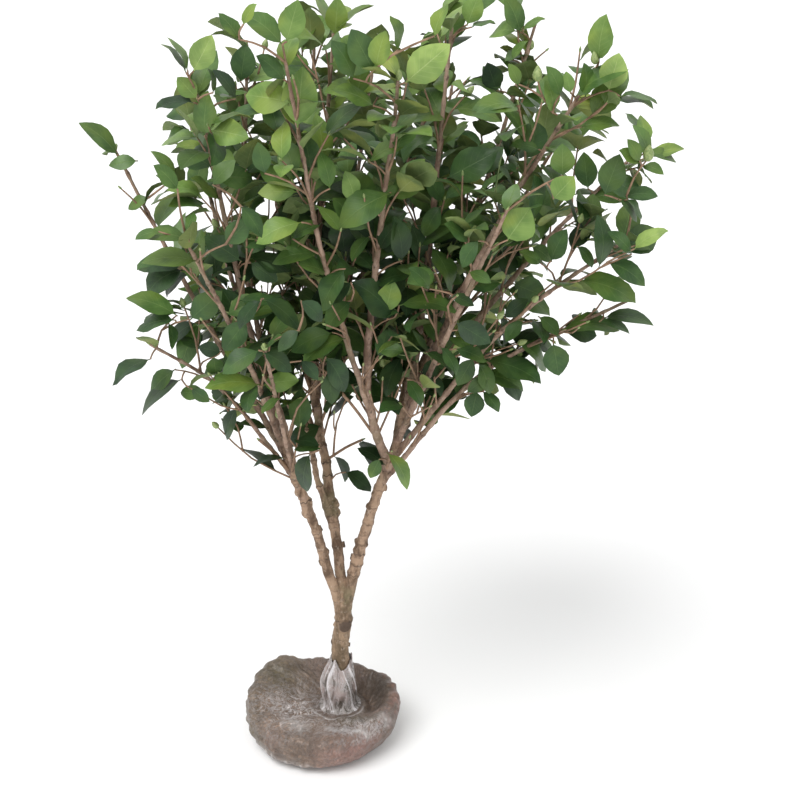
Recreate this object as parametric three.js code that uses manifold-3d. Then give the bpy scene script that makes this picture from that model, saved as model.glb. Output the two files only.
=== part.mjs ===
// A camellia shrub with three stems, standing on its root ball, which is wrapped in clear film.
// Millimetres, +Z up. The origin is the centre of the root ball's flat underside.
import * as THREE from "three";
import { mergeVertices } from "three/addons/utils/BufferGeometryUtils.js";
import Module from "manifold-3d";

const wasm = await Module();
wasm.setup();

const UP = new THREE.Vector3(0, 0, 1);
const TURN = 2 * Math.PI;
const GOLDEN_ANGLE = THREE.MathUtils.degToRad(137.5);
const GAP = 0.3; // between two pieces that touch
const FINEST = { wood: 0.02, foliage: 0.2 }; // features smaller than this are smoothed away
const SMALLEST = 0.001; // the least smoothing

// The root ball: a flattened cake of soil with a dished top and a level seat under the trunk.
const BALL = {
  foot: 93, // radius of the flat underside
  rim: 123, // radius at the widest
  height: 80,
  seat: 38, // radius of the level seat
  seatHeight: 58,
  lumpRadius: 0.045, // how far the outline leaves a circle, as a share of the radius
  lumpHeight: 6,
  sides: 24,
};

// The film collar: the wrap's end, gathered in pleats round the trunk's foot.
const COLLAR = { height: 88, foot: 30, belly: 33, neck: 18.5, pleats: 8, pleatDepth: 0.07, sides: 24 };

// The trunk, from its flat cut on the seat to its flat cut at the fork.
const TRUNK = {
  cut: BALL.seatHeight + GAP, // height of the flat cut at its foot
  foot: new THREE.Vector3(31, 0, BALL.seatHeight - 10), // its curve starts below the cut
  middle: new THREE.Vector3(34, 2, 150),
  fork: new THREE.Vector3(40, 3, 252),
  footRadius: 14,
  forkRadius: 13.5,
  flare: 0.28, // widening at the foot, as a share of the radius
};

// Limbs: name, what it grows from and at what share of that one's length, one to three points that it
// runs through to its tip, the share of its length that is bare before its foliage, and its radius.
const LIMBS = [
  ["stem_mid", "trunk", 1, [[27, 21, 386], [-3, 80, 604], [40, -30, 1140]], 0.4, 9],
  ["stem_left", "trunk", 0.86, [[1, -15, 376], [-59, -55, 602], [-130, -150, 1078]], 0.42, 8.6],
  ["stem_right", "trunk", 0.8, [[79, -15, 395], [141, -32, 602], [199, -50, 1150]], 0.44, 10.2],
  ["bough_centre_right", "stem_right", 0.31, [[84, -75, 632], [128, -235, 1112]], 0.22, 7.2],
  ["bough_front_long", "bough_centre_right", 0.14, [[30, -190, 870], [-5, -285, 1140]], 0.24, 4.6],
  ["bough_far_left", "stem_left", 0.34, [[-165, -62, 780], [-262, -46, 985]], 0.26, 5],
  ["bough_low_left", "stem_left", 0.3, [[-135, -105, 665], [-215, -140, 735]], 0.3, 3.6],
  ["bough_left_top", "stem_left", 0.26, [[-90, 0, 790], [-82, 20, 1118]], 0.3, 5.4],
  ["bough_front_left", "stem_left", 0.38, [[-85, -185, 750], [-130, -275, 915]], 0.24, 4.8],
  ["bough_left_back", "stem_left", 0.28, [[-110, 45, 730], [-185, 140, 990]], 0.28, 5.2],
  ["bough_back_left", "stem_mid", 0.3, [[-55, 190, 790], [-90, 290, 1040]], 0.28, 5.2],
  ["bough_back", "stem_mid", 0.36, [[45, 215, 780], [85, 335, 1040]], 0.26, 5],
  ["bough_low_back_left", "stem_mid", 0.26, [[-75, 155, 655], [-165, 245, 790]], 0.3, 4.2],
  ["bough_top_back", "stem_mid", 0.33, [[-12, 140, 830], [5, 165, 1130]], 0.32, 5.2],
  ["bough_top", "stem_mid", 0.385, [[110, 105, 850], [220, 130, 1145]], 0.3, 5],
  ["bough_right_upper", "stem_right", 0.4, [[245, -140, 875], [378, -165, 1115]], 0.28, 6],
  ["bough_right_front", "stem_right", 0.36, [[190, -160, 745], [262, -280, 960]], 0.24, 5],
  ["bough_right_side", "stem_right", 0.32, [[285, -105, 755], [436, -125, 880]], 0.3, 5],
  ["bough_low_right", "stem_right", 0.28, [[250, -76, 668], [446, -112, 790]], 0.3, 4.4],
  ["bough_right_outer", "stem_right", 0.415, [[330, 15, 825], [480, 35, 975]], 0.32, 5.2],
  ["bough_right_top", "stem_right", 0.43, [[245, 55, 880], [325, 100, 1140]], 0.3, 5],
  ["bough_right_back", "stem_right", 0.38, [[260, 130, 770], [395, 220, 975]], 0.28, 5],
  ["bough_back_right", "stem_right", 0.34, [[170, 190, 770], [215, 305, 1025]], 0.28, 5],
  ["bough_low_back_right", "stem_right", 0.26, [[195, 120, 645], [310, 215, 765]], 0.3, 4],
  ["bough_front_low", "stem_left", 0.32, [[-40, -160, 650], [-45, -255, 770]], 0.3, 3.4],
];
const LIMB_TIP_RADIUS = 2.1;
const LIMB_TAPER = 1.5; // over 1, a limb keeps its thickness longer and tapers more near the tip

// Leafy spurs low in the crown: name, what each grows from and at what share of its length, and tip.
const SPURS = [
  ["spur_left", "stem_left", 0.3, [-75, -95, 572]],
  ["spur_mid", "stem_mid", 0.25, [72, 25, 520]],
  ["spur_right", "stem_right", 0.3, [118, -110, 560]],
  ["spur_front", "bough_centre_right", 0.08, [25, -150, 690]],
  ["spur_between", "stem_mid", 0.31, [75, 20, 720]],
  ["spur_back", "stem_mid", 0.34, [-60, 60, 730]],
];
const SPUR_RADIUS = 2.4;

// Side twigs and leaves.
const TWIG = {
  spacing: 60, // along the leader
  first: 0.04, // from this share of the leader
  last: 0.9, // to this one
  length: 100,
  shortest: 0.55, // of the length, at the leader's tip
  angle: 46, // degrees, away from the leader
  angleSpread: 9,
  rise: 0.18, // how much more each turns up
  lengths: [0.75, 1.2], // spread of the lengths
  fallbacks: [1, 0.7, 0.45], // shares of the length that are tried until it has room
  radius: 1.6,
  tipRadius: 1.2,
};
const LEAF = {
  length: 78,
  width: 0.62, // of the length
  lengths: [0.84, 1.16], // spread of the lengths
  thickness: 1.5,
  sink: 0.2, // how far its root goes past the twig's middle
  first: { twig: 0.32, leader: 0.5, spur: 0.4 }, // shares of those that are bare before their leaves
  spacing: 42, // along a twig
  tipGap: 7, // between the two last leaves at a twig's tip
  apart: 8, // least distance between the outer parts of two leaves of one mass
  widest: 0.46, // share of the length where the leaf is widest
  arch: 0.07, // height of the middle over the ends, of the length
  fold: 0.05, // how far the edges are turned up, of the length
  droop: [0.15, 0.85], // how much it points down, against 1 for its own direction
  roll: 0.7, // greatest turn about its own length, in radians
  lean: [0.75, 1.1], // how far it leaves its twig, in radians
  tipLean: [0.3, 0.62],
  // Turns round the twig, and shares of the length, that are tried in order until a leaf has room.
  tries: [
    [0, 1],
    [Math.PI, 1],
    [Math.PI / 2, 1],
    [0, 0.72],
    [Math.PI, 0.72],
  ],
};
const LEAF_ROWS = 7; // of points that stand for a leaf when its place is tested
const LEAF_COLUMNS = 5;
const CLEAR = 4; // least distance from a leaf or twig to a limb
const CELL_MARGIN = 1.6; // kept to the border between two masses
const BUD = { length: 15, radius: 4.6 };
const SEED = 20;

const BARK = new THREE.MeshStandardMaterial({ color: 0xa18a78, roughness: 0.85, metalness: 0 });
const LEAF_GREEN = new THREE.MeshStandardMaterial({ color: 0x3f6b2c, roughness: 0.4, metalness: 0 });
const SOIL = new THREE.MeshStandardMaterial({ color: 0x7d6d62, roughness: 0.7, metalness: 0 });
const FILM = new THREE.MeshStandardMaterial({ color: 0xb5aca6, roughness: 0.25, metalness: 0 });

// A repeatable stream of numbers from 0 to 1.
function seeded(seed) {
  let state = seed >>> 0;
  return () => {
    state = (Math.imul(state, 1664525) + 1013904223) >>> 0;
    return state / 4294967296;
  };
}

const between = (low, high, share) => low + (high - low) * share;

// A closed geometry as a solid that can be joined and cut, with its faces turned to point out.
function solidOf(geometry) {
  const bare = geometry.clone();
  bare.deleteAttribute("normal");
  bare.deleteAttribute("uv");
  const merged = mergeVertices(bare, 1e-4);
  const vertProperties = new Float32Array(merged.attributes.position.array);
  const triVerts = new Uint32Array(merged.index.array);
  const solid = new wasm.Manifold(new wasm.Mesh({ numProp: 3, vertProperties, triVerts }));
  if (solid.volume() > 0) return solid;
  const turned = triVerts.map((corner, i) => triVerts[i + [1, -1, 0][i % 3]]);
  return new wasm.Manifold(new wasm.Mesh({ numProp: 3, vertProperties, triVerts: turned }));
}

// True where two corners of a solid lie in one place.
function isPinched(solid) {
  const { numVert, numProp, vertProperties } = solid.getMesh();
  const places = new Set();
  for (let i = 0; i < numVert; i++) {
    const place = vertProperties.subarray(i * numProp, i * numProp + 3);
    places.add(Array.from(place, (value) => Math.round(value * 1e3)).join());
  }
  return places.size < numVert;
}

// The solid's largest body, without loose scraps or hollows. Features under a size are smoothed away,
// or smaller ones only where that would pinch it.
function wholeOf(solid, finest) {
  const bodies = solid.asOriginal().simplify(finest).decompose();
  const whole = bodies.reduce((best, body) => (body.volume() > best.volume() ? body : best));
  return isPinched(whole) && finest > SMALLEST ? wholeOf(solid, finest / 2) : whole;
}

function meshOf(name, solid, material) {
  const { numVert, numProp, vertProperties, triVerts } = solid.getMesh();
  const places = new Float32Array(numVert * 3);
  for (let i = 0; i < numVert; i++) places.set(vertProperties.subarray(i * numProp, i * numProp + 3), i * 3);
  const geometry = new THREE.BufferGeometry();
  geometry.setAttribute("position", new THREE.BufferAttribute(places, 3));
  geometry.setIndex(new THREE.BufferAttribute(new Uint32Array(triVerts), 1));
  geometry.computeVertexNormals();
  const mesh = new THREE.Mesh(geometry, material);
  mesh.name = name;
  return mesh;
}

// Two directions at right angles to a third, which stay steady as long as it is well off the Y axis.
function acrossOf(heading) {
  const side = new THREE.Vector3(heading.z, 0, -heading.x);
  if (side.length() < 1e-3) side.set(1, 0, 0);
  side.normalize();
  return [side, new THREE.Vector3().crossVectors(heading, side).normalize()];
}

// A closed round rod with flat ends along a stretch of a curve. radiusAt takes a share of the curve.
function rodAlong(curve, from, to, radiusAt, sides, steps) {
  const geometry = new THREE.CylinderGeometry(1, 1, 1, sides, steps);
  const places = geometry.attributes.position;
  const corner = new THREE.Vector3();
  for (let i = 0; i < places.count; i++) {
    corner.fromBufferAttribute(places, i);
    const share = between(from, to, corner.y + 0.5);
    const [side, other] = acrossOf(curve.getTangentAt(share));
    const radius = radiusAt(share);
    const place = curve.getPointAt(share);
    place.addScaledVector(side, corner.x * radius).addScaledVector(other, corner.z * radius);
    places.setXYZ(i, place.x, place.y, place.z);
  }
  return solidOf(geometry);
}

// How far the root ball's outline stands out at an angle, from -1 to 1.
const lumpAt = (angle) =>
  0.5 * Math.cos(2 * angle + 0.5) + 0.3 * Math.sin(3 * angle + 0.6) + 0.2 * Math.cos(7 * angle + 2.1);

function rootBall() {
  const { foot, rim, height, seat, seatHeight, lumpRadius, lumpHeight, sides } = BALL;
  const dishSlope = between(seat, rim, 0.45);
  const profile = [
    [0, 0],
    [foot, 0],
    [rim * 0.93, height * 0.22],
    [rim, height * 0.55],
    [rim * 0.985, height * 0.8],
    [rim * 0.92, height * 0.96],
    [rim * 0.83, height],
    [dishSlope, between(seatHeight, height, 0.5)],
    [seat, seatHeight],
    [0, seatHeight],
  ].map(([radius, z]) => new THREE.Vector2(radius, z));
  const geometry = new THREE.LatheGeometry(profile, sides).rotateX(Math.PI / 2);
  const places = geometry.attributes.position;
  const corner = new THREE.Vector3();
  for (let i = 0; i < places.count; i++) {
    corner.fromBufferAttribute(places, i);
    const radius = Math.hypot(corner.x, corner.y);
    const lump = lumpAt(Math.atan2(corner.y, corner.x));
    const outer = THREE.MathUtils.smoothstep(radius, seat, rim);
    const raised = THREE.MathUtils.smoothstep(corner.z, seatHeight * 0.9, height) * outer;
    const wider = 1 + lumpRadius * lump * outer;
    const shift = corner.z < seatHeight ? 0 : TRUNK.foot.x * (1 - outer);
    places.setXYZ(i, corner.x * wider + shift, corner.y * wider, corner.z + lumpHeight * lump * raised);
  }
  return solidOf(geometry);
}

const trunkRadius = (share) =>
  between(TRUNK.footRadius, TRUNK.forkRadius, share) * (1 + TRUNK.flare * (1 - share) ** 6);

function filmCollar(trunkWithGap) {
  const { height, foot, belly, neck, pleats, pleatDepth, sides } = COLLAR;
  const bore = TRUNK.forkRadius / 2;
  const profile = [
    [bore, 0],
    [foot, 0],
    [belly, height * 0.2],
    [between(neck, belly, 0.8), height * 0.4],
    [between(neck, belly, 0.35), height * 0.66],
    [neck, height * 0.9],
    [neck * 1.06, height],
    [bore, height],
    [bore, 0],
  ].map(([radius, z]) => new THREE.Vector2(radius, z));
  const geometry = new THREE.LatheGeometry(profile, sides).rotateX(Math.PI / 2);
  const places = geometry.attributes.position;
  for (let i = 0; i < places.count; i++) {
    const [x, y, z] = [places.getX(i), places.getY(i), places.getZ(i)];
    const pleat = 1 + pleatDepth * Math.cos(pleats * Math.atan2(y, x));
    places.setXYZ(i, TRUNK.foot.x + x * pleat, TRUNK.foot.y + y * pleat, TRUNK.cut + z);
  }
  return wholeOf(solidOf(geometry).subtract(trunkWithGap), FINEST.wood);
}

// Each limb's curve and thickness, worked out from its parent's.
const paths = new Map();
const trunkCurve = new THREE.CatmullRomCurve3([TRUNK.foot, TRUNK.middle, TRUNK.fork]);
paths.set("trunk", { curve: trunkCurve, radiusAt: trunkRadius, bare: 1 });
for (const [name, parent, at, through, bare, radius] of LIMBS) {
  const start = paths.get(parent).curve.getPointAt(at);
  const curve = new THREE.CatmullRomCurve3([start, ...through.map((place) => new THREE.Vector3(...place))]);
  const radiusAt = (share) => between(radius, LIMB_TIP_RADIUS, share ** LIMB_TAPER);
  paths.set(name, { curve, radiusAt, bare });
}

// A curve as short straight stretches, to measure distances from.
function stretchesOf(curve, from, to, count, radiusAt) {
  const stretches = [];
  for (let i = 0; i < count; i++) {
    const a = between(from, to, i / count);
    const b = between(from, to, (i + 1) / count);
    stretches.push({ start: curve.getPointAt(a), end: curve.getPointAt(b), radius: radiusAt(a) });
  }
  return stretches;
}

function distanceTo(point, { start, end }) {
  const along = end.clone().sub(start);
  const share = THREE.MathUtils.clamp(point.clone().sub(start).dot(along) / along.lengthSq(), 0, 1);
  return point.distanceTo(start.clone().addScaledVector(along, share));
}

const nearest = (point, stretches) => Math.min(...stretches.map((stretch) => distanceTo(point, stretch)));

// The masses of foliage: each has a leader, which carries on from its limb's tip or grows from a stem.
const masses = [];
for (const [name] of LIMBS) {
  const { curve, radiusAt, bare } = paths.get(name);
  const from = bare + GAP / curve.getLength();
  masses.push({ name: name.replace(/^(stem|bough)/, "foliage"), curve, radiusAt, from, isSpur: false });
}
for (const [name, parent, at, tip] of SPURS) {
  const { curve: stem, radiusAt: stemRadius } = paths.get(parent);
  const foot = stem.getPointAt(at);
  const end = new THREE.Vector3(...tip);
  const heading = end.clone().sub(foot).normalize();
  const [, lift] = acrossOf(heading);
  const start = foot.clone().addScaledVector(heading, stemRadius(at) * 0.5);
  const middle = start.clone().lerp(end, 0.5).addScaledVector(lift, start.distanceTo(end) * 0.08);
  const radiusAt = (share) => between(SPUR_RADIUS, LIMB_TIP_RADIUS, share);
  const curve = new THREE.CatmullRomCurve3([start, middle, end]);
  masses.push({ name: name.replace("spur", "foliage_spur"), curve, radiusAt, from: 0, isSpur: true });
}
for (const mass of masses) mass.leader = stretchesOf(mass.curve, mass.from, 1, 9, mass.radiusAt);

const bareLimbs = [...paths.values()].flatMap(({ curve, radiusAt, bare }) =>
  stretchesOf(curve, 0, bare, 8, radiusAt),
);

// True where a point lies in a mass's own space, nearer its leader than any other mass's.
function isInCell(point, mass) {
  const own = nearest(point, mass.leader) + 2 * CELL_MARGIN;
  return masses.every((other) => other === mass || nearest(point, other.leader) > own);
}

const isClearOf = (point, stretches) =>
  stretches.every((stretch) => distanceTo(point, stretch) > stretch.radius + CLEAR);

const isFree = (point, mass) => isInCell(point, mass) && isClearOf(point, bareLimbs);

// Half the width of a leaf of width 1 at a share of its length.
const leafHalfWidth = (share) => 0.5 * Math.sin(Math.PI * share ** 0.9) ** 0.8;

// Points spread over a leaf in rows, from near its stalk to its tip.
function leafPoints({ foot, along, across, length }) {
  const points = [];
  for (let row = 1; row <= LEAF_ROWS; row++) {
    const share = row / LEAF_ROWS;
    const halfWidth = leafHalfWidth(share) * LEAF.width * length;
    for (let column = 0; column < LEAF_COLUMNS; column++) {
      const out = between(-halfWidth, halfWidth, column / (LEAF_COLUMNS - 1));
      points.push(foot.clone().addScaledVector(along, length * share).addScaledVector(across, out));
    }
  }
  return points;
}

// A heading turned away from itself by the angle lean, to the side that turn gives round it.
function leaning(heading, turn, lean) {
  const [side, other] = acrossOf(heading);
  const outward = side.multiplyScalar(Math.cos(turn)).addScaledVector(other, Math.sin(turn));
  return outward.multiplyScalar(Math.sin(lean)).addScaledVector(heading, Math.cos(lean));
}

// A leaf's place and direction on a twig. turn is its angle round the twig, lean how far it leaves it.
function leafAt(foot, heading, turn, lean, droop, roll, length) {
  const along = leaning(heading, turn, lean).addScaledVector(UP, -droop).normalize();
  const face = heading.clone().multiplyScalar(0.5).addScaledVector(UP, 0.7);
  const across = new THREE.Vector3().crossVectors(face, along).normalize();
  across.applyAxisAngle(along, roll);
  return { foot, along, across, up: new THREE.Vector3().crossVectors(along, across), length };
}

// The twigs of one mass: they leave its leader one after another, turned round it by the golden angle.
function growTwigs(mass, leaderAt, headingAt, random) {
  const twigs = [];
  const long = mass.curve.getLength() * (1 - mass.from);
  const count = mass.isSpur ? 0 : Math.round((long * (TWIG.last - TWIG.first)) / TWIG.spacing);
  let turn = random() * TURN;
  for (let i = 0; i < count; i++) {
    const share = between(TWIG.first, TWIG.last, (i + 0.6 * random()) / count);
    const spread = between(-TWIG.angleSpread, TWIG.angleSpread, random());
    const angle = THREE.MathUtils.degToRad(TWIG.angle + spread);
    const along = leaning(headingAt(share), turn, angle).addScaledVector(UP, TWIG.rise).normalize();
    const wanted = TWIG.length * between(1, TWIG.shortest, share) * between(...TWIG.lengths, random());
    turn += GOLDEN_ANGLE;
    const start = leaderAt(share);
    const pointAt = (length) => start.clone().addScaledVector(along, length);
    const fits = (length) => [0.3, 0.5, 0.75, 1].every((s) => isFree(pointAt(length * s), mass));
    const length = TWIG.fallbacks.map((s) => wanted * s).find(fits);
    if (length) twigs.push({ start, end: pointAt(length), along, length, radius: TWIG.radius });
  }
  return twigs;
}

// The twigs and leaves of one mass, by the seeded rule.
function growMass(mass, random) {
  const { curve, from, isSpur } = mass;
  const leaderAt = (share) => curve.getPointAt(between(from, 1, share));
  const headingAt = (share) => curve.getTangentAt(between(from, 1, share));
  const twigs = growTwigs(mass, leaderAt, headingAt, random);
  const wood = [...mass.leader, ...twigs];
  const leaves = [];
  const taken = []; // points on the leaves so far

  function addLeaf(foot, heading, turn, lean) {
    const wanted = LEAF.length * between(...LEAF.lengths, random());
    const roll = between(-LEAF.roll, LEAF.roll, random());
    const droop = between(...LEAF.droop, random());
    for (const [flip, size] of LEAF.tries) {
      const leaf = leafAt(foot, heading, turn + flip, lean, droop, roll, wanted * size);
      const points = leafPoints(leaf);
      const outer = points.slice(LEAF_COLUMNS * 2);
      if (!outer.every((point) => isClearOf(point, wood))) continue;
      if (outer.some((point) => taken.some((other) => other.distanceTo(point) < LEAF.apart))) continue;
      if (!points.every((point) => isFree(point, mass))) continue;
      taken.push(...outer);
      leaves.push(leaf);
      return;
    }
  }

  // Leaves from a share of a twig to its tip, turned round it one after another, and two at the tip.
  function addLeaves(pointAt, wayAt, length, first) {
    const count = Math.max(1, Math.round((length * (1 - first)) / LEAF.spacing));
    let turn = random() * TURN;
    for (let i = 0; i < count; i++) {
      const share = between(first, 0.93, i / count);
      addLeaf(pointAt(share), wayAt(share), turn, between(...LEAF.lean, random()));
      turn += GOLDEN_ANGLE;
    }
    for (let i = 0; i < 2; i++) {
      const share = 1 - (LEAF.tipGap * (i + 0.25)) / length;
      addLeaf(pointAt(share), wayAt(share), turn, between(...LEAF.tipLean, random()));
      turn += Math.PI;
    }
  }

  for (const { start, end, along, length } of twigs) {
    addLeaves((share) => start.clone().lerp(end, share), () => along, length, LEAF.first.twig);
  }
  addLeaves(leaderAt, headingAt, curve.getLength() * (1 - from), LEAF.first[isSpur ? "spur" : "leader"]);
  return { twigs, leaves, bud: { start: leaderAt(0.97), along: headingAt(1) } };
}

// A leaf as a solid of eight faces, arched along its length and folded along its middle.
function leafSolid({ foot, along, across, up, length }) {
  const geometry = new THREE.OctahedronGeometry(1);
  const places = geometry.attributes.position;
  const half = LEAF.thickness / 2;
  for (let i = 0; i < places.count; i++) {
    const [x, y, z] = [places.getX(i), places.getY(i), places.getZ(i)];
    const isEnd = Math.abs(x) > 0.5;
    const forward = isEnd ? Math.max(x, 0) * length : LEAF.widest * length;
    const back = isEnd && x < 0 ? LEAF.sink : 0;
    const height = isEnd ? 0 : (LEAF.arch + Math.abs(y) * LEAF.fold) * length + z * half;
    const place = foot
      .clone()
      .addScaledVector(along, forward - back)
      .addScaledVector(across, y * 0.5 * LEAF.width * length)
      .addScaledVector(up, height);
    places.setXYZ(i, place.x, place.y, place.z);
  }
  return solidOf(geometry);
}

// A straight tapering twig.
function twigSolid({ start, end, radius }) {
  return rodAlong(new THREE.LineCurve3(start, end), 0, 1, (s) => between(radius, TWIG.tipRadius, s), 3, 1);
}

// The bud at a leader's tip, as a spindle of eight faces.
function budSolid({ start, along }) {
  const geometry = new THREE.OctahedronGeometry(1);
  geometry.scale(BUD.radius, BUD.radius, BUD.length);
  geometry.applyQuaternion(new THREE.Quaternion().setFromUnitVectors(UP, along));
  const middle = start.clone().addScaledVector(along, BUD.length * 0.7);
  return solidOf(geometry.translate(middle.x, middle.y, middle.z));
}

const shrub = new THREE.Group();
const trunk = rodAlong(trunkCurve, 0, 1, trunkRadius, 14, 8).trimByPlane([0, 0, 1], TRUNK.cut);
const trunkWithGap = rodAlong(trunkCurve, 0, 1, (share) => trunkRadius(share) + GAP, 14, 8);
shrub.add(meshOf("root_ball", rootBall(), SOIL));
shrub.add(meshOf("film_collar", filmCollar(trunkWithGap), FILM));
shrub.add(meshOf("trunk", trunk, BARK));

// The limbs, each cut clear of those that it grows from or beside.
const withGap = [trunkWithGap];
for (const [name, , at] of LIMBS) {
  const { curve, radiusAt, bare } = paths.get(name);
  const isStem = name.startsWith("stem");
  const [sides, steps] = isStem ? [8, 7] : [5, 4];
  const from = at === 1 ? GAP / curve.getLength() : 0;
  const whole = rodAlong(curve, from, bare, radiusAt, sides, steps);
  const clear = wholeOf(withGap.reduce((solid, other) => solid.subtract(other), whole), FINEST.wood);
  withGap.push(rodAlong(curve, from, bare, (share) => radiusAt(share) + GAP, sides, steps));
  shrub.add(meshOf(name, clear, BARK));
}

const grown = masses.map((mass, i) => growMass(mass, seeded(SEED + i)));
masses.forEach((mass, i) => {
  const { twigs, leaves, bud } = grown[i];
  const leader = rodAlong(mass.curve, mass.from, 1, mass.radiusAt, mass.isSpur ? 3 : 5, mass.isSpur ? 2 : 4);
  const pieces = [leader, ...twigs.map(twigSolid), ...leaves.map(leafSolid), budSolid(bud)];
  const joined = wasm.Manifold.union(pieces);
  const clear = withGap.reduce((solid, other) => solid.subtract(other), joined);
  shrub.add(meshOf(mass.name, wholeOf(clear, FINEST.foliage), LEAF_GREEN));
});

export default shrub;
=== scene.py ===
"""A camellia shrub with three stems, standing on its root ball, which is wrapped in clear film.

Metres, +Z up. The origin is the centre of the root ball's flat underside.
"""
import math
import random

import bpy
import numpy as np
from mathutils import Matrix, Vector, noise


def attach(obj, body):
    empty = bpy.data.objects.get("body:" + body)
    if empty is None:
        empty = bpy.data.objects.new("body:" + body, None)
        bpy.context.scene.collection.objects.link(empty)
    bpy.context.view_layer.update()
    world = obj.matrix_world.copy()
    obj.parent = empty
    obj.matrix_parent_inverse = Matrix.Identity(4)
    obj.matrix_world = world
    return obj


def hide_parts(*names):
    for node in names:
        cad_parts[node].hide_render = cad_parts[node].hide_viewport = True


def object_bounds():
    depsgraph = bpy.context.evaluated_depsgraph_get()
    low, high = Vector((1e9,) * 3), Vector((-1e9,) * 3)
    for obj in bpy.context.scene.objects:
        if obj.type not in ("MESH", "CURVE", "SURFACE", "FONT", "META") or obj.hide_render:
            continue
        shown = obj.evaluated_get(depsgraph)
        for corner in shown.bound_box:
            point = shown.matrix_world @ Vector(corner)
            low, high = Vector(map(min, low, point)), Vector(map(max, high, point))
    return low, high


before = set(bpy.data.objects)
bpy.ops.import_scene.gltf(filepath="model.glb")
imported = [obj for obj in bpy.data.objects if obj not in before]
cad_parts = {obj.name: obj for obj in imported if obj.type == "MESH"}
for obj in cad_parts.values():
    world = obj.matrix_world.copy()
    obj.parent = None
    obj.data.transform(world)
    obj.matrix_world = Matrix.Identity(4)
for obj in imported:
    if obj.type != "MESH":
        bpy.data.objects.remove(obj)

cad_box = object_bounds()

MM = 0.001
TURN = 2 * math.pi
GOLDEN_ANGLE = math.radians(137.5)
UP = np.array([0.0, 0.0, 1.0])

# The root ball and the film collar.
BALL_FOOT = 0.093
BALL_RIM = 0.123
BALL_HEIGHT = 0.080
SEAT = 0.038
SEAT_HEIGHT = 0.058
TRUNK_X = 0.031
COLLAR_HEIGHT = 0.088

# The trunk runs through these, from below its cut to its fork.
TRUNK_POINTS = [[31, 0, 48], [34, 2, 150], [40, 3, 252]]
TRUNK_RADII = (14, 13.5)
TRUNK_FLARE = 0.28

# Limbs: name, what it grows from and at what share of that one's length, the points that it runs
# through to its tip, the share of its length that is bare, and its radius. Millimetres.
LIMBS = [
    ("stem_mid", "trunk", 1, [[27, 21, 386], [-3, 80, 604], [40, -30, 1140]], 0.4, 9),
    ("stem_left", "trunk", 0.86, [[1, -15, 376], [-59, -55, 602], [-130, -150, 1078]], 0.42, 8.6),
    ("stem_right", "trunk", 0.8, [[79, -15, 395], [141, -32, 602], [199, -50, 1150]], 0.44, 10.2),
    ("bough_centre_right", "stem_right", 0.31, [[84, -75, 632], [128, -235, 1112]], 0.22, 7.2),
    ("bough_front_long", "bough_centre_right", 0.14, [[30, -190, 870], [-5, -285, 1140]], 0.24, 4.6),
    ("bough_far_left", "stem_left", 0.34, [[-165, -62, 780], [-262, -46, 985]], 0.26, 5),
    ("bough_low_left", "stem_left", 0.3, [[-135, -105, 665], [-215, -140, 735]], 0.3, 3.6),
    ("bough_left_top", "stem_left", 0.26, [[-90, 0, 790], [-82, 20, 1118]], 0.3, 5.4),
    ("bough_front_left", "stem_left", 0.38, [[-85, -185, 750], [-131, -290, 917]], 0.24, 4.8),
    ("bough_left_back", "stem_left", 0.28, [[-110, 45, 730], [-185, 140, 990]], 0.28, 5.2),
    ("bough_back_left", "stem_mid", 0.3, [[-55, 190, 790], [-90, 290, 1040]], 0.28, 5.2),
    ("bough_back", "stem_mid", 0.36, [[45, 215, 780], [88, 374, 1046]], 0.26, 5),
    ("bough_low_back_left", "stem_mid", 0.26, [[-75, 155, 655], [-165, 245, 790]], 0.3, 4.2),
    ("bough_top_back", "stem_mid", 0.33, [[-12, 140, 830], [5, 165, 1130]], 0.32, 5.2),
    ("bough_top", "stem_mid", 0.385, [[110, 105, 850], [220, 130, 1145]], 0.3, 5),
    ("bough_right_upper", "stem_right", 0.4, [[245, -140, 875], [378, -165, 1115]], 0.28, 6),
    ("bough_right_front", "stem_right", 0.36, [[190, -160, 745], [262, -280, 960]], 0.24, 5),
    ("bough_right_side", "stem_right", 0.32, [[285, -105, 755], [436, -125, 880]], 0.3, 5),
    ("bough_low_right", "stem_right", 0.28, [[250, -76, 668], [446, -112, 790]], 0.3, 4.4),
    ("bough_right_outer", "stem_right", 0.415, [[330, 15, 825], [480, 35, 975]], 0.32, 5.2),
    ("bough_right_top", "stem_right", 0.43, [[245, 55, 880], [325, 100, 1140]], 0.3, 5),
    ("bough_right_back", "stem_right", 0.38, [[260, 130, 770], [395, 220, 975]], 0.28, 5),
    ("bough_back_right", "stem_right", 0.34, [[170, 190, 770], [215, 305, 1025]], 0.28, 5),
    ("bough_low_back_right", "stem_right", 0.26, [[195, 120, 645], [310, 215, 765]], 0.3, 4),
    ("bough_front_low", "stem_left", 0.32, [[-40, -160, 650], [-45, -255, 770]], 0.3, 3.4),
]
LIMB_TIP_RADIUS = 2.1
LIMB_TAPER = 0.95
# The middle stem's second leader, which parts low and runs up beside it to meet the low back bough: the
# points that it runs through and its radii. Millimetres.
FORK_POINTS = [[8, 21, 434], [-2, 28, 468], [-8, 37, 502]]
FORK_RADII = (6.0, 3.2)

# Leafy spurs low in the crown: name, parent, share of its length, tip.
SPURS = [
    ("spur_left", "stem_left", 0.3, [-75, -95, 572]),
    ("spur_mid", "stem_mid", 0.25, [72, 25, 520]),
    ("spur_right", "stem_right", 0.3, [118, -110, 560]),
    ("spur_front", "bough_centre_right", 0.08, [25, -150, 690]),
    ("spur_between", "stem_mid", 0.31, [75, 20, 720]),
    ("spur_back", "stem_mid", 0.34, [-60, 60, 730]),
]
SPUR_RADIUS = 2.4

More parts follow.
